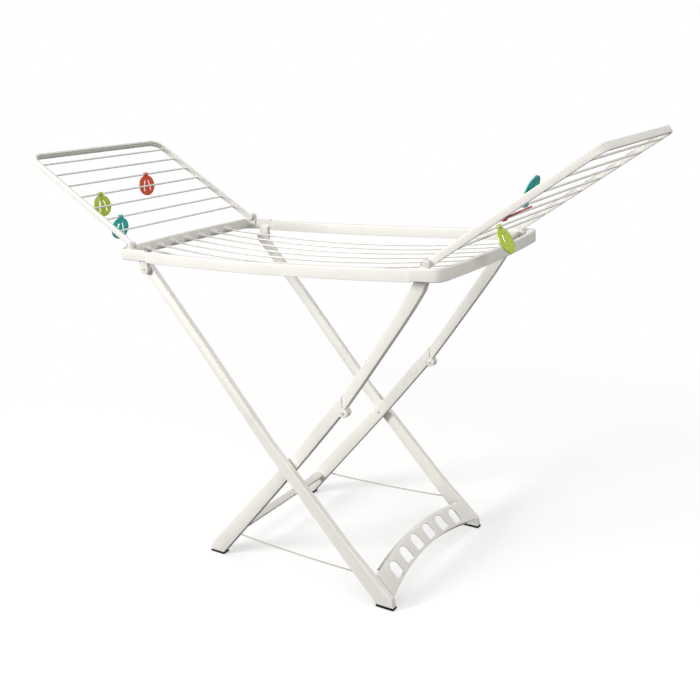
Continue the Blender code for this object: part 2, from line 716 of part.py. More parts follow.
def panel_section(y):
    """Channel section of the panel: a face with a flange along its lower and upper edge."""
    low = panel_edge(PANEL_LOW, y)
    high = panel_edge(PANEL_HIGH, y)
    depth = PANEL_FLANGE if abs(y) < PANEL_FLANGE_SPAN else PANEL_THICKNESS + 0.0008
    wall = PANEL_THICKNESS
    lip = min(PANEL_LIP_ROUND, depth * 0.7)
    outer = [(low, -depth), (low, -0.0012), (low + 0.0012, 0.0)]
    outer += list(reversed(arc((high - lip, -lip), lip, 0, 90, 3)))
    outer.append((high, -depth))
    inner = [(high - wall, -depth), (high - wall, -max(lip, wall)),
             (high - lip, -wall), (low + wall, -wall), (low + wall, -depth)]
    return [panel_point(y, t, n) for t, n in outer + inner]


def build_panel(pivot, materials):
    """The arched spreader panel with its row of round-topped slots."""
    steps = 14
    inside = PANEL_FLANGE_SPAN - 0.001
    ys = [-inside + 2 * inside * i / steps for i in range(steps + 1)]
    for y in (PANEL_FLANGE_SPAN + 0.0005, 0.222, PANEL_HALF_SPAN - GAP * 0.5):
        ys = [-y] + ys + [y]
    bm = bmesh.new()
    loft(bm, [panel_section(y) for y in ys])
    panel = finish("spreader_panel", bm, materials["leg"], pivot)
    slots = bmesh.new()
    for number in range(SLOT_COUNT):
        y = (number - (SLOT_COUNT - 1) / 2) * SLOT_PITCH
        sill = panel_edge(PANEL_LOW, y) + SLOT_SILL
        crown = sill + SLOT_HEIGHT - SLOT_WIDTH / 2
        outline = arc((y, crown), SLOT_WIDTH / 2, 0, 180, 9)
        outline += [(y - SLOT_WIDTH / 2, sill), (y + SLOT_WIDTH / 2, sill)]
        rings = [[panel_point(a, t, n) for a, t in outline] for n in (-0.012, 0.004)]
        loft(slots, rings)
    boolean(panel, finish("guide_panel_slots", slots, materials["leg"], pivot), "DIFFERENCE")


def bar_point(y, u, v):
    """Point of the cross bar: u up the inner leg's lower edge and v behind it."""
    slope_x, slope_z = INNER_EDGE_SLOPE
    return (INNER_EDGE_FOOT[0] + slope_x * u - slope_z * v, y,
            INNER_EDGE_FOOT[1] + slope_z * u + slope_x * v)


def build_cross_bar(pivot, materials):
    """The cross bar between the inner legs, a channel with ribs in its open face."""
    reach = INNER_LEG_Y[0] - GAP
    corners = ((BAR_U[0], BAR_V[0]), (BAR_U[1], BAR_V[0]), (BAR_U[1], BAR_V[1]),
               (BAR_U[0], BAR_V[1]))
    bm = bmesh.new()
    loft(bm, [[bar_point(y, u, v) for u, v in corners] for y in (-reach, reach)])
    bar = finish("cross_bar", bm, materials["leg"], pivot)
    bevel(bar, 0.0015)
    pockets = bmesh.new()
    low = (BAR_U[0] + BAR_WALL, BAR_V[0] - 0.004)
    high = (BAR_U[1] - BAR_WALL, BAR_V[1] - BAR_WALL)
    pitch = (2 * reach - BAR_RIB) / BAR_POCKETS
    for number in range(BAR_POCKETS):
        start = -reach + BAR_RIB + number * pitch
        ring = ((low[0], low[1]), (high[0], low[1]), (high[0], high[1]), (low[0], high[1]))
        loft(pockets, [[bar_point(y, u, v) for u, v in ring]
                       for y in (start, start + pitch - BAR_RIB)])
    boolean(bar, finish("guide_bar_pockets", pockets, materials["leg"], pivot), "DIFFERENCE")


def build_tie_cords(pivot, materials):
    """The two cords that stop the legs from spreading, drawn tight with a slight droop."""
    for name, side in SIDES.items():
        curve = bpy.data.curves.new("tie_cord_" + name, "CURVE")
        curve.dimensions = "3D"
        curve.bevel_depth = CORD_RADIUS
        curve.bevel_resolution = 2
        curve.use_fill_caps = True
        spline = curve.splines.new("POLY")
        spline.points.add(CORD_POINTS - 1)
        for i, point in enumerate(spline.points):
            share = i / (CORD_POINTS - 1)
            spot = Vector(CORD_FROM).lerp(Vector(CORD_TO), share)
            spot.y *= side
            spot.z -= CORD_DROOP * bulge(share - 0.5, 0.5)
            point.co = (*(spot - Vector(pivot["axis_point"])), 1.0)
        curve.materials.append(materials["cord"])
        cord = bpy.data.objects.new(curve.name, curve)
        cord.parent = pivot
        bpy.context.collection.objects.link(cord)


def main():
    """Build the airer."""
    clear_scene()
    materials = {
        "frame": make_material("frame_resin", (0.86, 0.85, 0.80), 0.42),
        "leg": make_material("leg_resin", (0.85, 0.84, 0.79), 0.45),
        "rod": make_material("rod_coating", (0.88, 0.87, 0.83), 0.35),
        "pin": make_material("pin_resin", (0.78, 0.77, 0.72), 0.40),
        "rubber": make_material("foot_rubber", (0.02, 0.02, 0.02), 0.75),
        "cord": make_material("cord_fibre", (0.86, 0.85, 0.82), 0.80),
        "orange": make_material("clip_orange", (0.70, 0.09, 0.03), 0.35),
        "red": make_material("clip_red", (0.62, 0.07, 0.05), 0.35),
        "lime": make_material("clip_lime", (0.38, 0.53, 0.03), 0.35),
        "teal": make_material("clip_teal", (0.02, 0.40, 0.33), 0.35),
    }
    build_rails(materials)
    build_end_members(materials)
    build_centre_rods(materials)
    build_castings(materials)
    wings = {name: build_wing(name, end, materials) for name, end in ENDS.items()}
    for name, place in CLIPS.items():
        build_clip(name, place, wings, materials)
    upper = make_pivot("pivot_upper_links", (LINK_PIVOT[0], 0.0, LINK_PIVOT[1]))
    inner = make_pivot("pivot_inner_legs", (KNUCKLE[0], 0.0, KNUCKLE[1]), parent=upper)
    outer = make_pivot("pivot_outer_legs", (CROSSING[0], 0.0, CROSSING[1]), parent=inner)
    build_upper_links(upper, materials)
    build_inner_legs(inner, materials)
    build_cross_bar(inner, materials)
    build_outer_legs(outer, materials)
    build_panel(outer, materials)
    build_tie_cords(inner, materials)
    build_pins({"upper": upper, "inner": inner}, materials)


main()
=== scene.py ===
import math

import bmesh
import bpy
from mathutils import Matrix, Vector


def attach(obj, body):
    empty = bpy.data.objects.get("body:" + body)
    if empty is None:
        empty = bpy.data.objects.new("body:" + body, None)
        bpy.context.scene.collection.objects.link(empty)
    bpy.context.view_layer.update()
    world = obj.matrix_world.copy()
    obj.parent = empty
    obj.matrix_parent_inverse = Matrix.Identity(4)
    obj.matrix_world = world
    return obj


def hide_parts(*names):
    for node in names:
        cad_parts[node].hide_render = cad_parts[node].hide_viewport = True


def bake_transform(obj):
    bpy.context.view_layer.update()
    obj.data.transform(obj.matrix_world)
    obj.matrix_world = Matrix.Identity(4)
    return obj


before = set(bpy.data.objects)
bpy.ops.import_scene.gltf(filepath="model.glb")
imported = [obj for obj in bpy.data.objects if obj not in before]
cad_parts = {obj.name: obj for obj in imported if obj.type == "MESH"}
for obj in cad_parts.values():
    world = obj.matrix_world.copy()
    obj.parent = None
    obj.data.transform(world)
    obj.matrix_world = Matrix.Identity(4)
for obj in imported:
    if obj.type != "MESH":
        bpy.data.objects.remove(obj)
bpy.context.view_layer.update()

# Sizes are in metres. A pivot or a leg's edge point is (x, z). A span is (inner y, outer y),
# given for the rear and mirrored to the front.
SIDES = {"front": -1, "rear": 1}
ENDS = {"left": -1, "right": 1}
CLEARANCE = 0.0004  # between pieces that meet
OVERRUN = 0.002  # how far a cutter runs past a face

# Centre frame; the rails and end members are channels with ribs, open below
FRAME_LENGTH, FRAME_WIDTH, FRAME_TOP = 1.000, 0.542, 0.898
RAIL_HEIGHT, RAIL_THICKNESS, RAIL_BOW, RAIL_SAG = 0.029, 0.012, 0.013, 0.008
SECTION_RADIUS, SECTION_WALL, SECTION_LIP = 0.0030, 0.0022, 0.0008
RIB_HALF, RIB_INSET, RIB_RISE = 0.0008, 0.0015, 0.004
RAIL_STEPS, END_STEPS, RIB_EVERY = 72, 48, 4
SEAM = 0.0002
END_BOW, CORNER_RADIUS = 0.015, 0.022
CASTING_REACH_X = {"left": 0.392, "right": 0.424}
CASTING_REACH_Y, CASTING_PROUD = 0.236, 0.0006
CASTING_TAIL_Y = (0.2465, 0.2430, 0.2395, CASTING_REACH_Y)

# Centre rods and their sleeves
ROD_PITCH, ROD_COUNT, ROD_HEIGHT, ROD_SAG, ROD_SPREAD = 0.057, 7, 0.8795, 0.0265, 0.075
ROD_RADIUS, ROD_BITE, ROD_SIDES = 0.0026, 0.0010, 18
SLEEVE_ROOT, SLEEVE_TIP, SLEEVE_LENGTH = 0.0092, 0.0062, 0.022
# (distance from the wall, share of the taper from tip to root; below 0 the end turns in)
SLEEVE_PROFILE = (
    (-0.0020, 1.00), (0.0006, 1.00), (0.0022, 0.90), (0.0060, 0.80), (0.0110, 0.62),
    (0.0160, 0.36), (0.0203, 0.10), (0.0214, 0.02), (0.0219, -0.10), (0.0220, -0.55),
    (0.0205, -0.62))
# Web under a sleeve: place off the wall, then its outline as (across, below the rod)
WEB_ENDS = (
    (0.001, ((0.0004, 0.0), (0.0092, 0.0012), (0.0092, 0.0085), (0.0004, 0.0100))),
    (-0.0150, ((0.0004, 0.0), (0.0050, 0.0012), (0.0050, 0.0050), (0.0004, 0.0060))))

# Wings
HINGE_X, HINGE_Z, WING_TILT = 0.457, 0.908, math.radians(32.5)
WING_REACH, WING_OUTER_Y, WING_CORNER = 0.452, 0.254, 0.036
ARM_START, ARM_THICKNESS, ARM_BOTTOM, ARM_TOP = -0.0012, 0.0078, -0.0125, 0.0055
ARM_EDGE, ARM_STEPS, ARM_CORNER_STEPS = 0.0022, 16, 18
ARM_GROOVE_DEPTH, ARM_GROOVE_EDGE, ARM_GROOVE_FLOOR = 0.0009, (0.0002, 0.0062), (0.0010, 0.0054)
WING_ROD_START, WING_ROD_PITCH, WING_ROD_OFFSET, WING_ROD_COUNT = 0.075, 0.0564, -0.009, 7
EAR_RADIUS, EYE_DISC_RADIUS, EAR_Y = 0.0095, 0.0085, (0.2565, 0.2690)
EYE_BORE, EAR_GROOVE_OUTER, EAR_GROOVE_INNER, EAR_GROOVE_DEPTH = 0.0044, 0.0076, 0.0062, 0.0006
# Boss round a rod's end: (distance into the arm, radius)
ROD_BOSS = ((0.0015, 0.0048), (-0.0006, 0.0046), (-0.0022, 0.0038), (-0.0026, 0.0033),
            (-0.0027, 0.0010))
ROD_BOSS_LIFT = 0.0012

# Clips: wing, rod number, place along the rod, lean in degrees, material slot
CLIPS = {
    "clip_orange": ("left", 4, 0.070, 90, "orange"),
    "clip_lime": ("left", 3, -0.160, 86, "lime"),
    "clip_teal": ("left", 1, -0.180, 104, "teal"),
    "clip_teal_right": ("right", 3, -0.211, 246, "teal"),
    "clip_red_right": ("right", 2, -0.208, 204, "red"),
    "clip_lime_right": ("right", 1, -0.130, 118, "lime"),
}
CLIP_RADIUS, CLIP_THICKNESS, CLIP_HANG, CLIP_EDGE = 0.0310, 0.0030, 0.0340, 0.00055
HOOK_RADIUS, HOOK_BORE, HOOK_HALF_WIDTH = 0.0056, 0.0030, 0.0060
MOUTH_LENGTH, MOUTH_HALF = 0.0112, 0.0021
SLOT_HALF_LENGTH, SLOT_RADIUS, SLOT_BEND, SLOT_LEAN, SLOT_SHARE = 0.0175, 0.0025, 0.00156, 0.2, 0.36
SLOT_STEPS = 8

# Legs
TOP_PIVOT, CROSSING = (-0.412, 0.846), (0.0077, 0.3308)
KNUCKLE, LINK_PIVOT = (0.1925, 0.5112), (0.4375, 0.880)
PIVOT_BORE, TOP_EAR_RADIUS, LEG_EDGE = 0.0034, 0.015, 0.0018
OUTER_LEG_Y, INNER_LEG_Y, SPLIT_Y = (0.2375, 0.2540), (0.2135, 0.2350), 0.2243
EAR_PLATE_Y, LINK_LUG_Y = (0.2545, 0.2665), (0.2355, 0.2640)
LINK_LUG_X, LINK_LUG_TOP = (0.4265, 0.4515), 0.8915
OUTER_BORE_END, LINK_BORE_END, INNER_BORE_Y = 0.2505, 0.2510, (0.20, 0.25)
OUTER_UPPER = ((-0.244, 0.6655), (-0.034, 0.402), (0.094, 0.262), (0.201, 0.144),
               (0.3165, 0.032), (0.322, 0.0))
OUTER_LOWER = ((-0.2548, 0.6307), (-0.0543, 0.3757), (0.0529, 0.2532), (0.178, 0.109),
               (0.258, 0.020), (0.275, 0.0))
INNER_UPPER = ((0.1531, 0.516), (0.0476, 0.3971), (-0.0234, 0.3209), (-0.1463, 0.1967),
               (-0.3125, 0.0237), (-0.3160, 0.0))
INNER_LOWER = ((0.1783, 0.4956), (0.0724, 0.3756), (-0.0015, 0.2940), (-0.2727, 0.0))
# (x, z, half width) along the link, from knuckle to frame
UPPER_LINK = ((0.1720, 0.5180, 0.0128), (0.2435, 0.600, 0.0130), (0.346, 0.737, 0.0142),
              (0.388, 0.795, 0.0150), (0.4205, 0.8437, 0.0155), (0.4375, 0.880, 0.0125))
KNUCKLE_RADIUS, KNUCKLE_RELIEF = 0.013, 0.0136
INNER_LEG_SHOULDER, LINK_SHOULDER, LINK_HEEL = (0.002, 0.5545), 0.5560, 0.003

# Feet
LEG_END, FOOT_TOP, FOOT_PROUD, FOOT_CHAMFER = 0.006, 0.0056, 0.0012, (0.001, 0.0015)
FOOT_GROOVES, GROOVE_HALF_MOUTH, GROOVE_HALF_FLOOR, GROOVE_DEPTH = 6, 0.0008, 0.0005, 0.0009

# Pins: place, start and end along y, which ends have a head, body
PINS = {
    "pin_top_pivot": (TOP_PIVOT, EAR_PLATE_Y[0] + 0.0002, EAR_PLATE_Y[1] + CLEARANCE, "outer",
                      "top_frame"),
    "pin_link": (LINK_PIVOT, INNER_LEG_Y[0] - CLEARANCE, 0.2505, "inner", "top_frame"),
    "pin_knuckle": (KNUCKLE, INNER_LEG_Y[0] - CLEARANCE, INNER_LEG_Y[1] + CLEARANCE, "both",
                    "upper_links"),
    "pin_crossing": (CROSSING, INNER_LEG_Y[0] - CLEARANCE, 0.2500, "inner", "inner_legs"),
}
PIN_RADIUS, PIN_TIP_RADIUS, PIN_SIDES = 0.0030, 0.0006, 32
# Dished heads: (radius, distance past the pin's end)
INNER_HEAD = ((0.0006, -0.0012), (0.0014, -0.0013), (0.0019, -0.0020), (0.0033, -0.0018),
              (0.0042, -0.0013), (0.0046, -0.0007), (0.0046, 0.0))
OUTER_HEAD = ((0.0046, 0.0), (0.0046, 0.0006), (0.0042, 0.0010), (0.0033, 0.0014),
              (0.0019, 0.0016), (0.0014, 0.0009), (0.0006, 0.0008))

# Spreader panel: t runs up its slope and n out of its face. Its edges are
# (t at the ends, rise at the middle).
PANEL_FOOT, PANEL_SLOPE, PANEL_HALF = (0.3465, 0.0), (-0.693, 0.721), 0.24
PANEL_LOW, PANEL_HIGH = (0.042, 0.039), (0.113, 0.031)
PANEL_BODY_HALF, PANEL_STEPS, PANEL_SHOULDER = 0.204, 56, 0.205
PANEL_TAB_Y = (0.2055, 0.222, 0.2366)
PANEL_DEPTH, PANEL_TAB_DEPTH, PANEL_LIP, PANEL_WALL = 0.022, 0.0038, 0.011, 0.003
ARCH_COUNT, ARCH_PITCH, ARCH_RADIUS, ARCH_HEIGHT = 6, 0.0664, 0.0175, 0.045
ARCH_SILL, ARCH_CORNER, ARCH_CORNER_X = 0.008, 0.003, 0.0145
# Flared mouth of an arch: (scale of its outline, n)
ARCH_FLARE = ((1.10, 0.0040), (1.055, 0.00001), (1.022, -0.0005), (1.004, -0.0013),
              (1.0, -0.0120))

# Cross bar, measured along (u) and square to (v) the inner legs' lower edge
INNER_EDGE_FOOT, INNER_EDGE_SLOPE = (-0.2727, 0.0), (0.678, 0.735)
BAR_U, BAR_V, BAR_WALL, BAR_WEB, BAR_EDGE = (0.0654, 0.0860), (0.0124, 0.0330), 0.003, 0.005, 0.0017
POCKETS, POCKET_DROP, POCKET_EDGE = 6, 0.004, 0.0014

# Tie cords
CORD_FROM, CORD_TO, CORD_DROOP = (-0.1974, 0.2285, 0.0790), (0.2032, 0.2455, 0.0780), 0.004
CORD_TURNS, CORD_STEPS_PER_TURN, PLY_OFFSET, PLY_RADIUS, PLY_SIDES = 23, 18, 0.00128, 0.00116, 8

# Studio
CAMERA_PLACE, CAMERA_LENS, CAMERA_SENSOR = (1.38886, -1.91442, 1.28578), 45.63, 36.0
CAMERA_AXES = ((0.831412, 0.552054, -0.063163), (-0.107327, 0.271082, 0.956554),
               (0.545192, -0.788512, 0.284631))
# Lights: place, aim, size, power, colour
LIGHTS = {
    "key": ((-3.4, -4.6, 2.5), (0, 0, 0.5), 2.2, 335, (1.0, 0.985, 0.965)),
    "top": ((0.3, 0.4, 4.2), (0, 0, 0.7), 2.8, 30, (1.0, 1.0, 1.0)),
    "side": ((3.8, -1.6, 1.7), (0, 0, 0.6), 2.2, 62, (1.0, 0.985, 0.955)),
}
FLOOR_DROP, FLOOR_RINGS, FLOOR_SIDES = 0.0004, (0.5, 2.0, 5.0, 7.0), 64

# Surface noises: scale, detail, roughness
CLOUD, FINE, SPECKS = (7.0, 4.0, 0.55), (90.0, 5.0, 0.65), (420.0, 2.0, 0.5)
PATCHES, RIPPLES = (38.0, 4.0, 0.6), (150.0, 2.0, 0.55)


# ---------------------------------------------------------------- materials
def node(tree, kind, sockets=None, **settings):
    """A new node with these settings, and these values on its input sockets."""
    item = tree.nodes.new(kind)
    for key, value in settings.items():
        setattr(item, key, value)
    for key, value in (sockets or {}).items():
        item.inputs[key].default_value = value
    return item


def ramp(tree, source, stops):
    item = node(tree, "ShaderNodeValToRGB")
    while len(item.color_ramp.elements) < len(stops):
        item.color_ramp.elements.new(0.5)
    for element, (position, color) in zip(item.color_ramp.elements, stops):
        element.position = position
        element.color = (*color, 1.0)
    tree.links.new(source, item.inputs["Fac"])
    return item.outputs["Color"]


def moulded(name, color, rough, tone=0.05, grain=0.10, peel=0.10, coat=0.0, speck=0.0,
            edge_wear_and_highlight=0.10, stretch=(1, 1, 1), specular=0.5, grain_scale=1400.0):
    """Moulded or coated surface: cloudy tone, fine grain, soft ripple, and edges painted lighter,
    standing for both rubbed wear and a painted highlight.
    """
    material = bpy.data.materials.new(name)
    material.use_nodes = True
    tree = material.node_tree
    link = tree.links.new
    shader = tree.nodes["Principled BSDF"]
    coords = node(tree, "ShaderNodeTexCoord").outputs["Object"]
    mapping = node(tree, "ShaderNodeMapping", {"Scale": stretch})
    link(coords, mapping.inputs["Vector"])

    def noise(scale, detail, roughness):
        item = node(tree, "ShaderNodeTexNoise",
                    {"Scale": scale, "Detail": detail, "Roughness": roughness})
        link(mapping.outputs["Vector"], item.inputs["Vector"])
        return item.outputs["Fac"]

    def scaled(factor):
        return tuple(min(1.0, channel * factor) for channel in color)

    def blend_to(surface, mask, target):
        item = node(tree, "ShaderNodeMix", data_type="RGBA", blend_type="MIX")
        link(mask, item.inputs["Factor"])
        link(surface, item.inputs[6])
        item.inputs[7].default_value = (*target, 1.0)
        return item.outputs[2]

    def bump(height, strength, distance):
        item = node(tree, "ShaderNodeBump", {"Strength": strength, "Distance": distance})
        link(height, item.inputs["Height"])
        return item

    cloud = ramp(tree, noise(*CLOUD), ((0.30, scaled(1 - tone)), (0.50, color),
                                       (0.72, scaled(1 + tone * 0.5))))
    fine = ramp(tree, noise(*FINE), ((0.35, (1 - tone * 0.55,) * 3), (0.65, (1.0, 1.0, 1.0))))
    mixed = node(tree, "ShaderNodeMix", data_type="RGBA", blend_type="MULTIPLY")
    mixed.inputs["Factor"].default_value = 1.0
    link(cloud, mixed.inputs[6])
    link(fine, mixed.inputs[7])
    surface = mixed.outputs[2]
    if speck:
        dots = ramp(tree, noise(*SPECKS), ((0.66, (0, 0, 0)), (0.74, (speck,) * 3)))
        surface = blend_to(surface, dots, scaled(0.62))
    # Convex edges are painted lighter: partly rubbed wear, partly a painted highlight along the
    # edges.
    wear_and_highlight_mask = ramp(tree, node(tree, "ShaderNodeNewGeometry").outputs["Pointiness"],
                   ((0.515, (0, 0, 0)), (0.60, (edge_wear_and_highlight * 3,) * 3)))
    wear_and_highlight_color = [channel + (1.0 - channel) * 0.30 for channel in color]
    link(blend_to(surface, wear_and_highlight_mask, wear_and_highlight_color), shader.inputs["Base Color"])
    patches = node(tree, "ShaderNodeMapRange", {
        "From Min": 0.32, "From Max": 0.70, "To Min": rough - 0.07, "To Max": rough + 0.08})
    link(noise(*PATCHES), patches.inputs["Value"])
    link(patches.outputs["Result"], shader.inputs["Roughness"])
    ripple = bump(noise(*RIPPLES), peel, 0.0012)
    grit = bump(noise(grain_scale, 3.0, 0.7), grain, 0.00025)
    link(ripple.outputs["Normal"], grit.inputs["Normal"])
    link(grit.outputs["Normal"], shader.inputs["Normal"])
    shader.inputs["Specular IOR Level"].default_value = specular
    if coat:
        shader.inputs["Coat Weight"].default_value = coat
        shader.inputs["Coat Roughness"].default_value = 0.16
    return material


def fibre(name, color):
    """Spun cord: a rough, grainy surface with a soft sheen."""
    material = moulded(name, color, 0.78, tone=0.12, grain=0.6, peel=0.35, edge_wear_and_highlight=0.0,
                       specular=0.2, grain_scale=900.0)
    shader = material.node_tree.nodes["Principled BSDF"]
    shader.inputs["Sheen Weight"].default_value = 0.25
    shader.inputs["Sheen Roughness"].default_value = 0.5
    return material


def clip_resin(name, color):
    return moulded(name, color, 0.30, tone=0.07, peel=0.06, coat=0.35)


MATERIALS = {
    "frame": moulded("frame_resin", (0.755, 0.742, 0.702), 0.42, tone=0.045, grain=0.03,
                     peel=0.04, speck=0.03),
    "leg": moulded("leg_resin", (0.795, 0.781, 0.737), 0.45, tone=0.055, grain=0.03,
                   peel=0.04, speck=0.03, stretch=(1, 1, 0.6)),
    "rod": moulded("rod_coating", (0.780, 0.768, 0.730), 0.34, tone=0.04, grain=0.02,
                   peel=0.03, coat=0.2, stretch=(0.4, 1, 1)),
    "pin": moulded("pin_resin", (0.62, 0.60, 0.54), 0.38, tone=0.06, grain=0.12),
    "rubber": moulded("foot_rubber", (0.007, 0.007, 0.008), 0.80, tone=0.25, grain=0.4,
                      peel=0.2, edge_wear_and_highlight=0.02, specular=0.15),
    "cord": fibre("cord_fibre", (0.56, 0.54, 0.49)),
    "orange": clip_resin("clip_orange", (0.700, 0.088, 0.026)),
    "red": clip_resin("clip_red", (0.600, 0.062, 0.058)),
    "lime": clip_resin("clip_lime", (0.450, 0.580, 0.040)),
    "teal": clip_resin("clip_teal", (0.020, 0.440, 0.400)),
}


# ---------------------------------------------------------------- mesh helpers
def evenly(low, high, steps):
    return [low + (high - low) * i / steps for i in range(steps + 1)]


def shade(item, angle=32):
    item.data.shade_smooth()
    item.data.set_sharp_from_angle(angle=math.radians(angle))


def settle(item):
    """Replace an object's modifiers by their result."""
    graph = bpy.context.evaluated_depsgraph_get()
    mesh = bpy.data.meshes.new_from_object(item.evaluated_get(graph))
    old = item.data
    item.modifiers.clear()
    item.data = mesh
    mesh.name = item.name
    if old.users == 0:
        bpy.data.meshes.remove(old)


def piece(name, bm, slot=None, angle=35):
    """Turn a bmesh into an object."""
    bmesh.ops.recalc_face_normals(bm, faces=bm.faces)
    mesh = bpy.data.meshes.new(name)
    bm.to_mesh(mesh)
    bm.free()
    if slot:
        mesh.materials.append(MATERIALS[slot])
    item = bpy.data.objects.new(name, mesh)
    shade(item, angle)
    bpy.context.collection.objects.link(item)
    return item


def round_edges(item, width, segments=3, angle=35):
    modifier = item.modifiers.new("edges", "BEVEL")
    modifier.width = width
    modifier.segments = segments
    modifier.limit_method = "ANGLE"
    modifier.angle_limit = math.radians(angle)
    modifier.harden_normals = False
    modifier.use_clamp_overlap = True
    bpy.context.view_layer.update()
    settle(item)
    shade(item)


def combine(item, steps):
    """Apply boolean steps of (operation, tool object) and remove the tools."""
    for operation, tool in steps:
        modifier = item.modifiers.new("cut", "BOOLEAN")
        modifier.operation = operation
        modifier.solver = "EXACT"
        modifier.object = tool
    bpy.context.view_layer.update()
    settle(item)
    for _operation, tool in steps:
        bpy.data.objects.remove(tool)


def place(item, body, *nodes, slot=None):
    """Ride on a body and stand for the CAD nodes; the slot argument is not used."""
    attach(item, body)
    if nodes:
        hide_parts(*nodes)


def arc(center, radius, start, end, steps):
    turn = [math.radians(degrees) for degrees in evenly(start, end, steps)]
    return [(center[0] + radius * math.cos(a), center[1] + radius * math.sin(a)) for a in turn]


def disc(center, radius, steps=40):
    return arc(center, radius, 0, 360 * (steps - 1) / steps, steps - 1)


def loft(bm, rings, caps=True):
    """Join closed rings of points in turn, with a face on the first and the last."""
    rows = [[bm.verts.new(point) for point in ring] for ring in rings]
    count = len(rows[0])
    for low, high in zip(rows, rows[1:]):
        for i in range(count):
            j = (i + 1) % count
            bm.faces.new((low[i], low[j], high[j], high[i]))
    if caps:
        bm.faces.new(rows[0])
        bm.faces.new(rows[-1])


def prism(name, outline, span, side=1, slot=None):
    """An (x, z) outline carried across a span of y."""
    bm = bmesh.new()
    loft(bm, [[(x, side * y, z) for x, z in outline] for y in span])
    return piece(name, bm, slot)


def slab(name, outline, low, high, slot=None):
    """A (y, z) outline carried from one x to another."""
    bm = bmesh.new()
    loft(bm, [[(x, y, z) for y, z in outline] for x in (low, high)])
    return piece(name, bm, slot)


def bore(center, radius, span, side, steps=24):
    return ("DIFFERENCE", prism("hole", disc(center, radius, steps), span, side))


def tube(bm, points, radii, sides):
    """Sweep circles along points; radii is one value for each point."""
    rings = []
    normal = None
    for i, point in enumerate(points):
        ahead = Vector(points[min(i + 1, len(points) - 1)]) - Vector(points[max(i - 1, 0)])
        ahead.normalize()
        if normal is None:
            normal = ahead.orthogonal().normalized()
        normal = (normal - ahead * normal.dot(ahead)).normalized()
        other = ahead.cross(normal)
        turn = [math.tau * k / sides for k in range(sides)]
        rings.append([Vector(point) + radii[i] * (normal * math.cos(a) + other * math.sin(a))
                      for a in turn])
    loft(bm, rings)


def rod_radii(steps, end_share):
    return [ROD_RADIUS * (end_share if i in (0, steps) else 1.0) for i in range(steps + 1)]


def bulge(position, half):
    """1 at the middle, falling to 0 at half."""
    return 1.0 - (position / half) ** 2


def rail_y(x):
    return FRAME_WIDTH / 2 + RAIL_BOW * bulge(x, FRAME_LENGTH / 2)


def end_x(y):
    return FRAME_LENGTH / 2 + END_BOW * bulge(y, FRAME_WIDTH / 2)


def channel_section():
    """Section of a moulded channel, open below: a rounded top and a hollow underside."""
    half, tall, radius, wall = RAIL_THICKNESS / 2, RAIL_HEIGHT / 2, SECTION_RADIUS, SECTION_WALL
    lip = SECTION_LIP
    ring = arc((half - radius, tall - radius), radius, 0, 90, 4)
    ring += arc((-half + radius, tall - radius), radius, 90, 180, 4)
    ring += [(-half, -tall + lip), (-half + lip, -tall), (-half + wall - lip, -tall),
             (-half + wall, -tall + lip), (-half + wall, tall - wall * 1.6),
             (-half + wall * 1.7, tall - wall), (half - wall * 1.7, tall - wall),
             (half - wall, tall - wall * 1.6), (half - wall, -tall + lip),
             (half - wall + lip, -tall), (half - lip, -tall), (half, -tall + lip)]
    return ring


def round_section(thickness, height, radius):
    half, tall = thickness / 2, height / 2
    ring = []
    for u, v, start in ((1, 1, 0), (-1, 1, 90), (-1, -1, 180), (1, -1, 270)):
        ring += arc((u * (half - radius), v * (tall - radius)), radius, start, start + 90, 4)
    return ring


def sweep(bm, path, thickness, heights, section):
    """Sweep a section along a plan path; the path is the outer face, walked anticlockwise."""
    rings = []
    for i, point in enumerate(path):
        before = Vector(path[max(i - 1, 0)])
        after = Vector(path[min(i + 1, len(path) - 1)])
        along = (after - before).normalized()
        inward = Vector((-along.y, along.x))
        bottom, top = heights(*point)
        middle = Vector(point) + inward * thickness / 2
        rings.append([((middle + inward * u).x, (middle + inward * u).y, (top + bottom) / 2 + v)
                      for u, v in section])
    loft(bm, rings)


def rib(bm, center, along, heights):
    """A thin web across a channel, square to its run."""
    along = Vector((*along, 0)).normalized()
    across = Vector((-along.y, along.x, 0))
    half = RAIL_THICKNESS / 2 - RIB_INSET
    low, high = heights[0] + RIB_RISE, heights[1] - RIB_INSET
    rings = []
    for shift in (-RIB_HALF, RIB_HALF):
        middle = Vector((*center, 0)) + along * shift
        rings.append([middle + across * u + Vector((0, 0, z))
                      for u, z in ((-half, low), (half, low), (half, high), (-half, high))])
    loft(bm, rings)


# ---------------------------------------------------------------- centre frame
def rail_heights(x, _y):
    top = FRAME_TOP - RAIL_SAG * bulge(x, FRAME_LENGTH / 2)
    return top - RAIL_HEIGHT, top


def end_heights(_x, _y):
    return FRAME_TOP - RAIL_HEIGHT, FRAME_TOP


def casting_heights(_x, _y):
    return FRAME_TOP - RAIL_HEIGHT - CASTING_PROUD, FRAME_TOP + CASTING_PROUD


def build_rails():
    xs = evenly(-CASTING_REACH_X["left"] + SEAM, CASTING_REACH_X["right"] - SEAM, RAIL_STEPS)
    for name, side in SIDES.items():
        path = [(x, side * rail_y(x)) for x in xs]
        if side > 0:
            path.reverse()
        bm = bmesh.new()
        sweep(bm, path, RAIL_THICKNESS, rail_heights, channel_section())
        for x in xs[3:RAIL_STEPS:RIB_EVERY]:
            slope = -2 * RAIL_BOW * x / (FRAME_LENGTH / 2) ** 2
            rib(bm, (x, side * (rail_y(x) - RAIL_THICKNESS / 2)), (1, side * slope),
                rail_heights(x, 0))
        place(piece("fine_rail_" + name, bm, "frame"), "top_frame", "rail_" + name, slot="frame")


def rod_places():
    return [(i - (ROD_COUNT - 1) / 2) * ROD_PITCH for i in range(ROD_COUNT)]


def sleeve_radius(share):
    if share < 0:
        return SLEEVE_TIP * (1 + share)
    return SLEEVE_TIP + (SLEEVE_ROOT - SLEEVE_TIP) * share


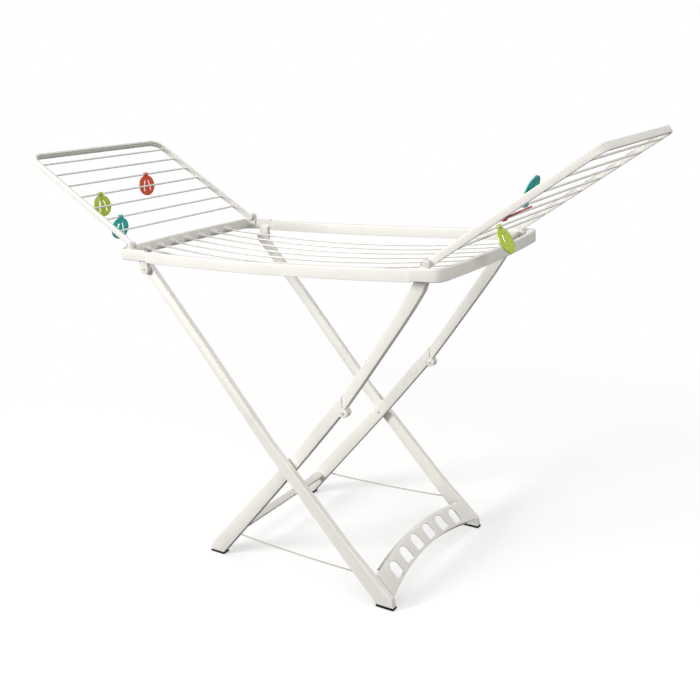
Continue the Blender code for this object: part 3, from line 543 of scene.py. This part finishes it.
def add_sleeve(bm, end, y):
    """A rod's tapered sleeve, with a flat web under it, back to the wall."""
    face = end_x(y) - RAIL_THICKNESS
    spots = [(end * (face - away), y, ROD_HEIGHT) for away, _share in SLEEVE_PROFILE]
    tube(bm, spots, [sleeve_radius(share) for _away, share in SLEEVE_PROFILE], 24)
    for sign in (-1, 1):
        loft(bm, [[(end * (face + shift), y + sign * across, ROD_HEIGHT - below)
                   for across, below in outline] for shift, outline in WEB_ENDS])


def build_end_members():
    reach = CASTING_REACH_Y - SEAM
    ys = evenly(-reach, reach, END_STEPS)
    for name, end in ENDS.items():
        path = [(end * end_x(y), y) for y in ys]
        if end < 0:
            path.reverse()
        bm = bmesh.new()
        sweep(bm, path, RAIL_THICKNESS, end_heights, channel_section())
        for y in ys[2:END_STEPS:RIB_EVERY]:
            slope = -2 * END_BOW * y / (FRAME_WIDTH / 2) ** 2
            rib(bm, (end * (end_x(y) - RAIL_THICKNESS / 2), y), (end * slope, 1),
                end_heights(0, y))
        for y in rod_places():
            add_sleeve(bm, end, y)
        place(piece("fine_end_member_" + name, bm, "frame"), "top_frame", "end_member_" + name,
              slot="frame")


def build_centre_rods():
    steps = 60
    for number, y0 in enumerate(rod_places()):
        reach = end_x(y0) - RAIL_THICKNESS - SLEEVE_LENGTH + ROD_BITE
        points = [(x, y0 * (1 + ROD_SPREAD * bulge(x, reach)),
                   ROD_HEIGHT - ROD_SAG * bulge(x, reach)) for x in evenly(-reach, reach, steps)]
        bm = bmesh.new()
        tube(bm, points, rod_radii(steps, 0.94), ROD_SIDES)
        place(piece("fine_centre_rod_%d" % number, bm, "rod"), "top_frame",
              "centre_rod_%d" % number, slot="rod")


def casting_path(end, side):
    reach = CASTING_REACH_X["left" if end < 0 else "right"]
    straight_x = FRAME_LENGTH / 2 - CORNER_RADIUS
    straight_y = FRAME_WIDTH / 2 - CORNER_RADIUS
    path = [(x, rail_y(x)) for x in evenly(reach, straight_x, 8)[:-1]]
    path += arc((straight_x, straight_y), CORNER_RADIUS, 4, 88, 12)[::-1]
    path += [(end_x(y), y) for y in CASTING_TAIL_Y]
    path = [(end * x, side * y) for x, y in path]
    if end * side > 0:
        path.reverse()
    return path


def ear_outline(center, radius, level):
    """A half disc round a pivot, carried straight on to a level below or above it."""
    start, reach = (0, radius) if level < center[1] else (180, -radius)
    return (arc(center, radius, start, start + 180, 24) +
            [(center[0] - reach, level), (center[0] + reach, level)])


def leg_mount(end, side):
    """The ear or lug that a leg hangs on, with its pivot and the span of its bore."""
    if end < 0:
        outline = ear_outline(TOP_PIVOT, TOP_EAR_RADIUS, FRAME_TOP - RAIL_HEIGHT * 0.7)
        mount = prism("mount", outline, EAR_PLATE_Y, side, "frame")
        return mount, TOP_PIVOT, (EAR_PLATE_Y[0] - OVERRUN, EAR_PLATE_Y[1] + OVERRUN)
    low = FRAME_TOP - RAIL_HEIGHT + 0.0008
    outline = [(LINK_LUG_X[0], low), (LINK_LUG_X[1], low), (LINK_LUG_X[1], LINK_LUG_TOP),
               (LINK_LUG_X[0], LINK_LUG_TOP)]
    mount = prism("mount", outline, LINK_LUG_Y, side, "frame")
    return mount, LINK_PIVOT, (LINK_LUG_Y[0] - OVERRUN, LINK_BORE_END)


def build_castings():
    section = round_section(RAIL_THICKNESS, RAIL_HEIGHT + 2 * CASTING_PROUD, SECTION_RADIUS)
    for end_name, end in ENDS.items():
        for side_name, side in SIDES.items():
            name = "corner_%s_%s" % (end_name, side_name)
            bm = bmesh.new()
            sweep(bm, casting_path(end, side), RAIL_THICKNESS, casting_heights, section)
            casting = piece("fine_" + name, bm, "frame")
            hinge = (end * HINGE_X, HINGE_Z)
            ear = prism("ear", ear_outline(hinge, EAR_RADIUS, FRAME_TOP - RAIL_HEIGHT * 0.6),
                        EAR_Y, side, "frame")
            round_edges(ear, 0.0012)
            mount, pivot, span = leg_mount(end, side)
            round_edges(mount, 0.0010)
            # shallow ring round the hinge eye
            groove = prism("ring", disc(hinge, EAR_GROOVE_OUTER),
                           (EAR_Y[1] - EAR_GROOVE_DEPTH, EAR_Y[1] + OVERRUN), side)
            core = prism("core", disc(hinge, EAR_GROOVE_INNER),
                         (EAR_Y[1] - 0.003, EAR_Y[1] + 0.003), side)
            combine(groove, [("DIFFERENCE", core)])
            combine(casting, [("UNION", ear), ("UNION", mount),
                              bore(pivot, PIVOT_BORE, span, side),
                              bore(hinge, EYE_BORE, (EAR_Y[0] - OVERRUN, EAR_Y[1] + 0.006), side),
                              ("DIFFERENCE", groove)])
            shade(casting)
            place(casting, "top_frame", name, slot="frame")


# ---------------------------------------------------------------- wings and clips
def wing_matrix(end):
    """From a wing's own frame, hinge line at x 0 and arms along +x, to its place at rest."""
    heading = 0.0 if end > 0 else math.pi
    return (Matrix.Translation((end * HINGE_X, 0.0, HINGE_Z)) @
            Matrix.Rotation(heading, 4, "Z") @ Matrix.Rotation(-WING_TILT, 4, "Y"))


def wing_path():
    straight, width = WING_REACH - WING_CORNER, WING_OUTER_Y - WING_CORNER
    arm = evenly(ARM_START, straight, ARM_STEPS)[:-1]
    path = [(s, -WING_OUTER_Y) for s in arm]
    path += arc((straight, -width), WING_CORNER, -90, 0, ARM_CORNER_STEPS)
    path += [(WING_REACH, y) for y in evenly(-width, width, ARM_STEPS)[1:-1]]
    path += arc((straight, width), WING_CORNER, 0, 90, ARM_CORNER_STEPS)
    path += [(s, WING_OUTER_Y) for s in reversed(arm)]
    return path


def wing_heights(_s, _y):
    return ARM_BOTTOM, ARM_TOP


def wing_section():
    """Arm section: rounded, with a shallow groove along the inner face."""
    half = ARM_THICKNESS / 2
    ring = round_section(ARM_THICKNESS, ARM_TOP - ARM_BOTTOM, ARM_EDGE)
    ring += [(half, ARM_GROOVE_EDGE[0]), (half - ARM_GROOVE_DEPTH, ARM_GROOVE_FLOOR[0]),
             (half - ARM_GROOVE_DEPTH, ARM_GROOVE_FLOOR[1]), (half, ARM_GROOVE_EDGE[1])]
    return ring


def wing_inner_reach(s):
    """Half the clear width between the arms at s, less in the rounded corners."""
    into = max(0.0, s - (WING_REACH - WING_CORNER))
    inner = WING_CORNER - ARM_THICKNESS
    return WING_OUTER_Y - ARM_THICKNESS - (inner - math.sqrt(inner ** 2 - into ** 2))


def turned(bm, s, height, side, profile, sides):
    """A piece turned about an axis along y; profile is (y, radius) pairs."""
    tube(bm, [(s, side * y, height) for y, _radius in profile],
         [radius for _y, radius in profile], sides)


def build_wings():
    inner = WING_OUTER_Y - ARM_THICKNESS + 0.0001
    eye = ((inner, EYE_DISC_RADIUS * 0.92), (inner + 0.0003, EYE_DISC_RADIUS),
           (WING_OUTER_Y, EYE_DISC_RADIUS), (WING_OUTER_Y + 0.0007, EYE_DISC_RADIUS * 0.93))
    stub = ((WING_OUTER_Y - 0.004, 0.0040), (EAR_Y[1] - 0.0016, 0.0040),
            (EAR_Y[1] - 0.0009, 0.0034), (EAR_Y[1] - 0.0008, 0.0008))
    stations = [WING_ROD_START + number * WING_ROD_PITCH for number in range(WING_ROD_COUNT)]
    steps = 24
    for name, end in ENDS.items():
        matrix = wing_matrix(end)
        body = name + "_wing"
        bm = bmesh.new()
        sweep(bm, wing_path(), ARM_THICKNESS, wing_heights, wing_section())
        for side in SIDES.values():
            turned(bm, 0, 0, side, eye, 40)
            turned(bm, 0, 0, side, stub, 28)
        for s in stations:
            reach = wing_inner_reach(s + ROD_RADIUS)
            boss = [(reach + into, radius) for into, radius in ROD_BOSS]
            for side in SIDES.values():
                turned(bm, s, WING_ROD_OFFSET + ROD_BOSS_LIFT, side, boss, 20)
        bmesh.ops.transform(bm, matrix=matrix, verts=bm.verts)
        place(piece("fine_wing_frame_" + name, bm, "frame"), body, "wing_frame_" + name,
              slot="frame")
        for number, s in enumerate(stations):
            reach = wing_inner_reach(s + ROD_RADIUS) - CLEARANCE
            points = [(s, y, WING_ROD_OFFSET) for y in evenly(-reach, reach, steps)]
            rod = bmesh.new()
            tube(rod, points, rod_radii(steps, 0.92), ROD_SIDES)
            bmesh.ops.transform(rod, matrix=matrix, verts=rod.verts)
            label = "wing_rod_%s_%d" % (name, number)
            place(piece("fine_" + label, rod, "rod"), body, label, slot="rod")


def slot_outline(offset, lean):
    """A round-ended slot, bent a little, at an offset from a clip's middle."""
    half, radius = SLOT_HALF_LENGTH - SLOT_RADIUS, SLOT_RADIUS
    spine = [(-math.copysign(SLOT_BEND, offset) * (along / half) ** 2, along)
             for along in evenly(-half, half, SLOT_STEPS)]
    left, right = [], []
    for i, (across, along) in enumerate(spine):
        a, b = spine[max(i - 1, 0)], spine[min(i + 1, SLOT_STEPS)]
        run = Vector((b[0] - a[0], b[1] - a[1])).normalized()
        left.append((across - run.y * radius, along + run.x * radius))
        right.append((across + run.y * radius, along - run.x * radius))
    outline = right + arc(spine[-1], radius, 30, 150, 4)
    outline += left[::-1] + arc(spine[0], radius, 210, 330, 4)
    cosine, sine = math.cos(lean), math.sin(lean)
    return [(offset + a * cosine - b * sine, -CLIP_HANG + a * sine + b * cosine)
            for a, b in outline]


def build_clips():
    half = CLIP_THICKNESS / 2
    cut = (-CLIP_RADIUS, CLIP_RADIUS)
    for name, (end_name, rod, y, lean, slot) in CLIPS.items():
        end = ENDS[end_name]
        item = slab("fine_" + name, disc((0.0, -CLIP_HANG), CLIP_RADIUS, 96), -half, half, slot)
        hook = prism("ring", disc((0, 0), HOOK_RADIUS, 48), (-HOOK_HALF_WIDTH, HOOK_HALF_WIDTH),
                     1, slot)
        mouth = prism("mouth", [(0, -MOUTH_HALF), (MOUTH_LENGTH, -MOUTH_HALF),
                                (MOUTH_LENGTH, MOUTH_HALF), (0, MOUTH_HALF)], cut)
        steps = [("UNION", hook), bore((0, 0), HOOK_BORE, cut, 1, 40), ("DIFFERENCE", mouth)]
        for sign in (-1, 1):
            outline = slot_outline(sign * CLIP_RADIUS * SLOT_SHARE, sign * SLOT_LEAN)
            steps.append(("DIFFERENCE", slab("slot", outline, -CLIP_THICKNESS, CLIP_THICKNESS)))
        combine(item, steps)
        round_edges(item, CLIP_EDGE, 3, 50)
        on_rod = (WING_ROD_START + rod * WING_ROD_PITCH, end * y, WING_ROD_OFFSET)
        turn = math.pi / 2 - math.radians(lean) + WING_TILT
        item.data.transform(wing_matrix(end) @ Matrix.Translation(on_rod) @
                            Matrix.Rotation(turn, 4, "Y"))
        place(item, name, name, slot=slot)


# ---------------------------------------------------------------- legs
def offset_sides(stations):
    """The two edges of a bar, from (x, z, half width) along its middle."""
    left, right = [], []
    for i, (x, z, half) in enumerate(stations):
        before, after = stations[max(i - 1, 0)], stations[min(i + 1, len(stations) - 1)]
        along = Vector((after[0] - before[0], after[1] - before[1])).normalized()
        left.append((x - along.y * half, z + along.x * half))
        right.append((x + along.y * half, z - along.x * half))
    return left, right


def cut_level(edge, height):
    """End an edge at a height on its last stretch."""
    (x0, z0), (x1, z1) = edge[-2:]
    share = (height - z0) / (z1 - z0)
    return list(edge[:-1]) + [(x0 + (x1 - x0) * share, height)]


def foot(name, edges, span, side, body):
    """Rubber pad with a chamfered sole, grooved across."""
    low, high = sorted(edge[-1][0] for edge in edges)
    low, high = low - FOOT_PROUD, high + FOOT_PROUD
    inset, rise = FOOT_CHAMFER
    outline = [(low + inset, 0.0), (high - inset, 0.0), (high, rise), (high, FOOT_TOP),
               (low, FOOT_TOP), (low, rise)]
    item = prism("fine_" + name, outline, span, side, "rubber")
    round_edges(item, 0.0005, 2)
    cuts = []
    for i in range(FOOT_GROOVES):
        x = low + (high - low) * (i + 0.5) / FOOT_GROOVES
        groove = [(x - GROOVE_HALF_MOUTH, -0.001), (x + GROOVE_HALF_MOUTH, -0.001),
                  (x + GROOVE_HALF_FLOOR, GROOVE_DEPTH), (x - GROOVE_HALF_FLOOR, GROOVE_DEPTH)]
        cuts.append(("DIFFERENCE", prism("groove", groove, (span[0] - OVERRUN, span[1] + OVERRUN),
                                         side)))
    combine(item, cuts)
    place(item, body, name, slot="rubber")


def knuckle_steps(side, keep, cut):
    """Half the leg's thickness stays as a round ear at the knuckle, the rest is cut away."""
    ear = prism("ear", disc(KNUCKLE, KNUCKLE_RADIUS, 48), keep, side, "leg")
    round_edges(ear, 0.0008, 2)
    return [bore(KNUCKLE, KNUCKLE_RELIEF, cut, side, 48), ("UNION", ear),
            bore(KNUCKLE, PIVOT_BORE, INNER_BORE_Y, side)]


def build_outer_legs():
    upper, lower = cut_level(OUTER_UPPER, LEG_END), cut_level(OUTER_LOWER, LEG_END)
    outline = arc(TOP_PIVOT, TOP_EAR_RADIUS, 219, 39, 24) + upper + lower[::-1]
    for name, side in SIDES.items():
        leg = prism("fine_outer_leg_" + name, outline, OUTER_LEG_Y, side, "leg")
        round_edges(leg, LEG_EDGE, 3, 60)
        combine(leg, [bore(CROSSING, PIVOT_BORE, (OUTER_LEG_Y[0] - OVERRUN, OUTER_BORE_END), side)])
        shade(leg)
        place(leg, "outer_legs", "outer_leg_" + name, slot="leg")
        foot("foot_outer_" + name, (upper, lower), (OUTER_LEG_Y[0], OUTER_LEG_Y[1] + FOOT_PROUD),
             side, "outer_legs")


def build_inner_legs():
    upper, lower = cut_level(INNER_UPPER, LEG_END), cut_level(INNER_LOWER, LEG_END)
    seam = KNUCKLE[0] - CLEARANCE
    shoulder = (seam - INNER_LEG_SHOULDER[0], INNER_LEG_SHOULDER[1])
    outline = [(seam, KNUCKLE[1]), shoulder] + upper + lower[::-1]
    for name, side in SIDES.items():
        leg = prism("fine_inner_leg_" + name, outline, INNER_LEG_Y, side, "leg")
        round_edges(leg, LEG_EDGE, 3, 40)
        steps = knuckle_steps(side, (SPLIT_Y + CLEARANCE, INNER_LEG_Y[1]),
                              (INNER_LEG_Y[0] - OVERRUN, SPLIT_Y + CLEARANCE))
        steps.append(bore(CROSSING, PIVOT_BORE, INNER_BORE_Y, side))
        combine(leg, steps)
        shade(leg)
        place(leg, "inner_legs", "inner_leg_" + name, slot="leg")
        foot("foot_inner_" + name, (upper, lower), (INNER_LEG_Y[0] - FOOT_PROUD, INNER_LEG_Y[1]),
             side, "inner_legs")


def build_upper_links():
    left, right = offset_sides(UPPER_LINK)
    seam = KNUCKLE[0] + CLEARANCE
    cap = arc(LINK_PIVOT, UPPER_LINK[-1][2], 155, -25, 24)
    outline = left[1:-1] + cap + right[1:-1][::-1]
    outline += [(seam, KNUCKLE[1] + LINK_HEEL), (seam, LINK_SHOULDER)]
    for name, side in SIDES.items():
        link = prism("fine_upper_link_" + name, outline, INNER_LEG_Y, side, "leg")
        round_edges(link, LEG_EDGE, 3, 40)
        steps = knuckle_steps(side, (INNER_LEG_Y[0], SPLIT_Y - CLEARANCE),
                              (SPLIT_Y - CLEARANCE, INNER_LEG_Y[1] + OVERRUN))
        steps.append(bore(LINK_PIVOT, PIVOT_BORE, INNER_BORE_Y, side))
        combine(link, steps)
        shade(link)
        place(link, "upper_links", "upper_link_" + name, slot="leg")


def build_pins():
    turn = [math.tau * k / PIN_SIDES for k in range(PIN_SIDES)]
    for label, ((x, z), start, end, heads, body) in PINS.items():
        profile = [(PIN_TIP_RADIUS, start)]
        if heads in ("inner", "both"):
            profile = [(radius, start + past) for radius, past in INNER_HEAD]
        profile += [(PIN_RADIUS, start), (PIN_RADIUS, end)]
        if heads in ("outer", "both"):
            profile += [(radius, end + past) for radius, past in OUTER_HEAD]
        for name, side in SIDES.items():
            bm = bmesh.new()
            loft(bm, [[(x + radius * math.cos(a), side * y, z + radius * math.sin(a))
                       for a in turn] for radius, y in profile])
            full_name = "%s_%s" % (label, name)
            place(piece("fine_" + full_name, bm, "pin"), body, full_name, slot="pin")


# ---------------------------------------------------------------- panel, bar and cords
def panel_point(y, t, n):
    sx, sz = PANEL_SLOPE
    return (PANEL_FOOT[0] + sx * t + sz * n, y, PANEL_FOOT[1] + sz * t - sx * n)


def panel_edge(limits, y):
    return limits[0] + limits[1] * bulge(y, PANEL_HALF)


def panel_ring(y):
    """The panel's section at y: a thin face with a rounded top and turned-back flanges."""
    low, high = panel_edge(PANEL_LOW, y), panel_edge(PANEL_HIGH, y)
    depth = PANEL_DEPTH if abs(y) < PANEL_SHOULDER else PANEL_TAB_DEPTH
    lip = min(PANEL_LIP, depth * 0.7)
    wall = PANEL_WALL
    outer = [(low, -depth), (low, -0.0016), (low + 0.0005, -0.0006), (low + 0.0016, 0.0)]
    outer += arc((high - lip, -lip), lip, 0, 90, 8)[::-1]
    outer.append((high, -depth))
    inner = [(high - wall, -depth), (high - wall, -max(lip, wall)), (high - lip, -wall),
             (low + wall, -wall), (low + wall, -depth)]
    return [panel_point(y, t, n) for t, n in outer + inner]


def panel_arch(y):
    """Cutter for one round-topped slot, with a flared mouth for its rounded lip."""
    sill = panel_edge(PANEL_LOW, y) + ARCH_SILL
    crown = sill + ARCH_HEIGHT - ARCH_RADIUS
    outline = arc((y, crown), ARCH_RADIUS, 0, 180, 24)
    corner_t = sill + ARCH_CORNER
    outline += arc((y - ARCH_CORNER_X, corner_t), ARCH_CORNER, 180, 270, 4)
    outline += arc((y + ARCH_CORNER_X, corner_t), ARCH_CORNER, 270, 360, 4)
    middle = (sill + crown) / 2
    bm = bmesh.new()
    loft(bm, [[panel_point(y + (a - y) * grow, middle + (t - middle) * grow, n)
               for a, t in outline] for grow, n in ARCH_FLARE])
    return piece("slot", bm)


def build_panel():
    tabs = list(PANEL_TAB_Y)
    ys = [-y for y in reversed(tabs)] + evenly(-PANEL_BODY_HALF, PANEL_BODY_HALF, PANEL_STEPS)
    bm = bmesh.new()
    loft(bm, [panel_ring(y) for y in ys + tabs])
    panel = piece("fine_spreader_panel", bm, "leg")
    places = [(number - (ARCH_COUNT - 1) / 2) * ARCH_PITCH for number in range(ARCH_COUNT)]
    combine(panel, [("DIFFERENCE", panel_arch(y)) for y in places])
    shade(panel, 35)
    place(panel, "outer_legs", "spreader_panel", slot="leg")


def bar_block(name, low, high, y0, y1, slot=None):
    """A block between two (u, v) corners and two places along the bar."""
    sx, sz = INNER_EDGE_SLOPE
    corners = ((low[0], low[1]), (high[0], low[1]), (high[0], high[1]), (low[0], high[1]))
    bm = bmesh.new()
    loft(bm, [[(INNER_EDGE_FOOT[0] + sx * u - sz * v, y, INNER_EDGE_FOOT[1] + sz * u + sx * v)
               for u, v in corners] for y in (y0, y1)])
    return piece(name, bm, slot)


def build_cross_bar():
    reach = INNER_LEG_Y[0] - CLEARANCE
    bar = bar_block("fine_cross_bar", (BAR_U[0], BAR_V[0]), (BAR_U[1], BAR_V[1]), -reach, reach,
                    "leg")
    round_edges(bar, BAR_EDGE)
    low = (BAR_U[0] + BAR_WALL, BAR_V[0] - POCKET_DROP)
    high = (BAR_U[1] - BAR_WALL, BAR_V[1] - BAR_WALL)
    pitch = (2 * reach - BAR_WEB) / POCKETS
    cuts = []
    for number in range(POCKETS):
        start = -reach + BAR_WEB + number * pitch
        pocket = bar_block("pocket", low, high, start, start + pitch - BAR_WEB)
        round_edges(pocket, POCKET_EDGE)
        cuts.append(("DIFFERENCE", pocket))
    combine(bar, cuts)
    shade(bar)
    place(bar, "inner_legs", "cross_bar", slot="leg")


def build_tie_cords():
    """Each cord is two plies twisted together, joined to a leg at each end."""
    count = CORD_TURNS * CORD_STEPS_PER_TURN
    for name, side in SIDES.items():
        start = Vector((CORD_FROM[0], side * CORD_FROM[1], CORD_FROM[2]))
        stop = Vector((CORD_TO[0], side * CORD_TO[1], CORD_TO[2]))
        along = (stop - start).normalized()
        across = along.cross(Vector((0, 0, 1))).normalized()
        upward = across.cross(along)
        bm = bmesh.new()
        for ply in range(2):
            points = []
            for i in range(count + 1):
                share = i / count
                spot = start.lerp(stop, share)
                spot.z -= CORD_DROOP * bulge(share - 0.5, 0.5)
                angle = math.tau * (CORD_TURNS * share + ply / 2)
                spot += (across * math.cos(angle) + upward * math.sin(angle)) * PLY_OFFSET
                points.append(spot)
            tube(bm, points, [PLY_RADIUS] * (count + 1), PLY_SIDES)
        cord = piece("fine_tie_cord_" + name, bm, "cord", 60)
        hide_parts("tie_cord_" + name)
        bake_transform(cord)


# ---------------------------------------------------------------- camera, light and floor
def build_camera():
    camera = bpy.data.objects.new("camera", bpy.data.cameras.new("camera"))
    camera.data.lens = CAMERA_LENS
    camera.data.sensor_width = CAMERA_SENSOR
    camera.data.clip_start = 0.05
    turn = Matrix([Vector(axis) for axis in CAMERA_AXES]).transposed().to_4x4()
    camera.matrix_world = Matrix.Translation(CAMERA_PLACE) @ turn
    bpy.context.collection.objects.link(camera)
    bpy.context.scene.camera = camera
    bpy.context.scene.view_settings.view_transform = "Standard"


def build_lights():
    for name, (spot, aim, size, power, color) in LIGHTS.items():
        light = bpy.data.objects.new(name, bpy.data.lights.new(name, "AREA"))
        light.data.shape = "DISK"
        light.data.size = size
        light.data.energy = power
        light.data.color = color
        light.location = spot
        light.rotation_euler = (Vector(spot) - Vector(aim)).to_track_quat("Z", "Y").to_euler()
        bpy.context.collection.objects.link(light)


def build_world():
    """Soft light, stronger from above, in front of a plain white backdrop."""
    world = bpy.data.worlds.new("studio")
    bpy.context.scene.world = world
    world.use_nodes = True
    tree = world.node_tree
    link = tree.links.new
    split = node(tree, "ShaderNodeSeparateXYZ")
    link(node(tree, "ShaderNodeTexCoord").outputs["Generated"], split.inputs[0])
    rise = node(tree, "ShaderNodeMapRange", {"From Min": -0.45, "From Max": 0.6,
                                             "To Min": 0.06, "To Max": 0.62})
    link(split.outputs["Z"], rise.inputs["Value"])
    background = tree.nodes["Background"]
    background.inputs["Color"].default_value = (1.0, 0.995, 0.985, 1.0)
    link(rise.outputs["Result"], background.inputs["Strength"])
    seen = node(tree, "ShaderNodeBackground", {"Color": (1.0, 1.0, 1.0, 1.0)})
    mix = node(tree, "ShaderNodeMixShader")
    link(node(tree, "ShaderNodeLightPath").outputs["Is Camera Ray"], mix.inputs[0])
    link(background.outputs[0], mix.inputs[1])
    link(seen.outputs[0], mix.inputs[2])
    link(mix.outputs[0], tree.nodes["World Output"].inputs[0])


def floor_paper():
    """Pale paper that glows a little more the farther out it lies, so it ends without a line."""
    material = moulded("floor_paper", (0.93, 0.93, 0.925), 0.85, tone=0.008, grain=0.05,
                       peel=0.02, edge_wear_and_highlight=0.0, specular=0.1)
    tree = material.node_tree
    link = tree.links.new
    length = node(tree, "ShaderNodeVectorMath", operation="LENGTH")
    link(node(tree, "ShaderNodeTexCoord").outputs["Object"], length.inputs[0])
    fade = node(tree, "ShaderNodeMapRange",
                {"From Min": 0.35, "From Max": 2.4, "To Min": 0.42, "To Max": 1.0},
                interpolation_type="SMOOTHSTEP")
    link(length.outputs["Value"], fade.inputs["Value"])
    mix = node(tree, "ShaderNodeMixShader")
    link(fade.outputs["Result"], mix.inputs[0])
    link(tree.nodes["Principled BSDF"].outputs[0], mix.inputs[1])
    link(node(tree, "ShaderNodeEmission").outputs[0], mix.inputs[2])
    link(mix.outputs[0], tree.nodes["Material Output"].inputs[0])
    return material


def build_floor():
    bm = bmesh.new()
    turn = [math.tau * k / FLOOR_SIDES for k in range(FLOOR_SIDES)]
    rings = [[(r * math.cos(a), r * math.sin(a), -FLOOR_DROP) for a in turn]
             for r in FLOOR_RINGS]
    loft(bm, rings, caps=False)
    bm.faces.new([bm.verts.new(point) for point in rings[0]])
    floor = piece("floor", bm)
    floor.data.materials.append(floor_paper())
    floor.visible_diffuse = False
    floor.visible_glossy = False


build_camera()
build_lights()
build_world()
build_floor()
build_rails()
build_end_members()
build_centre_rods()
build_castings()
build_wings()
build_clips()
build_outer_legs()
build_inner_legs()
build_upper_links()
build_pins()
build_panel()
build_cross_bar()
build_tie_cords()
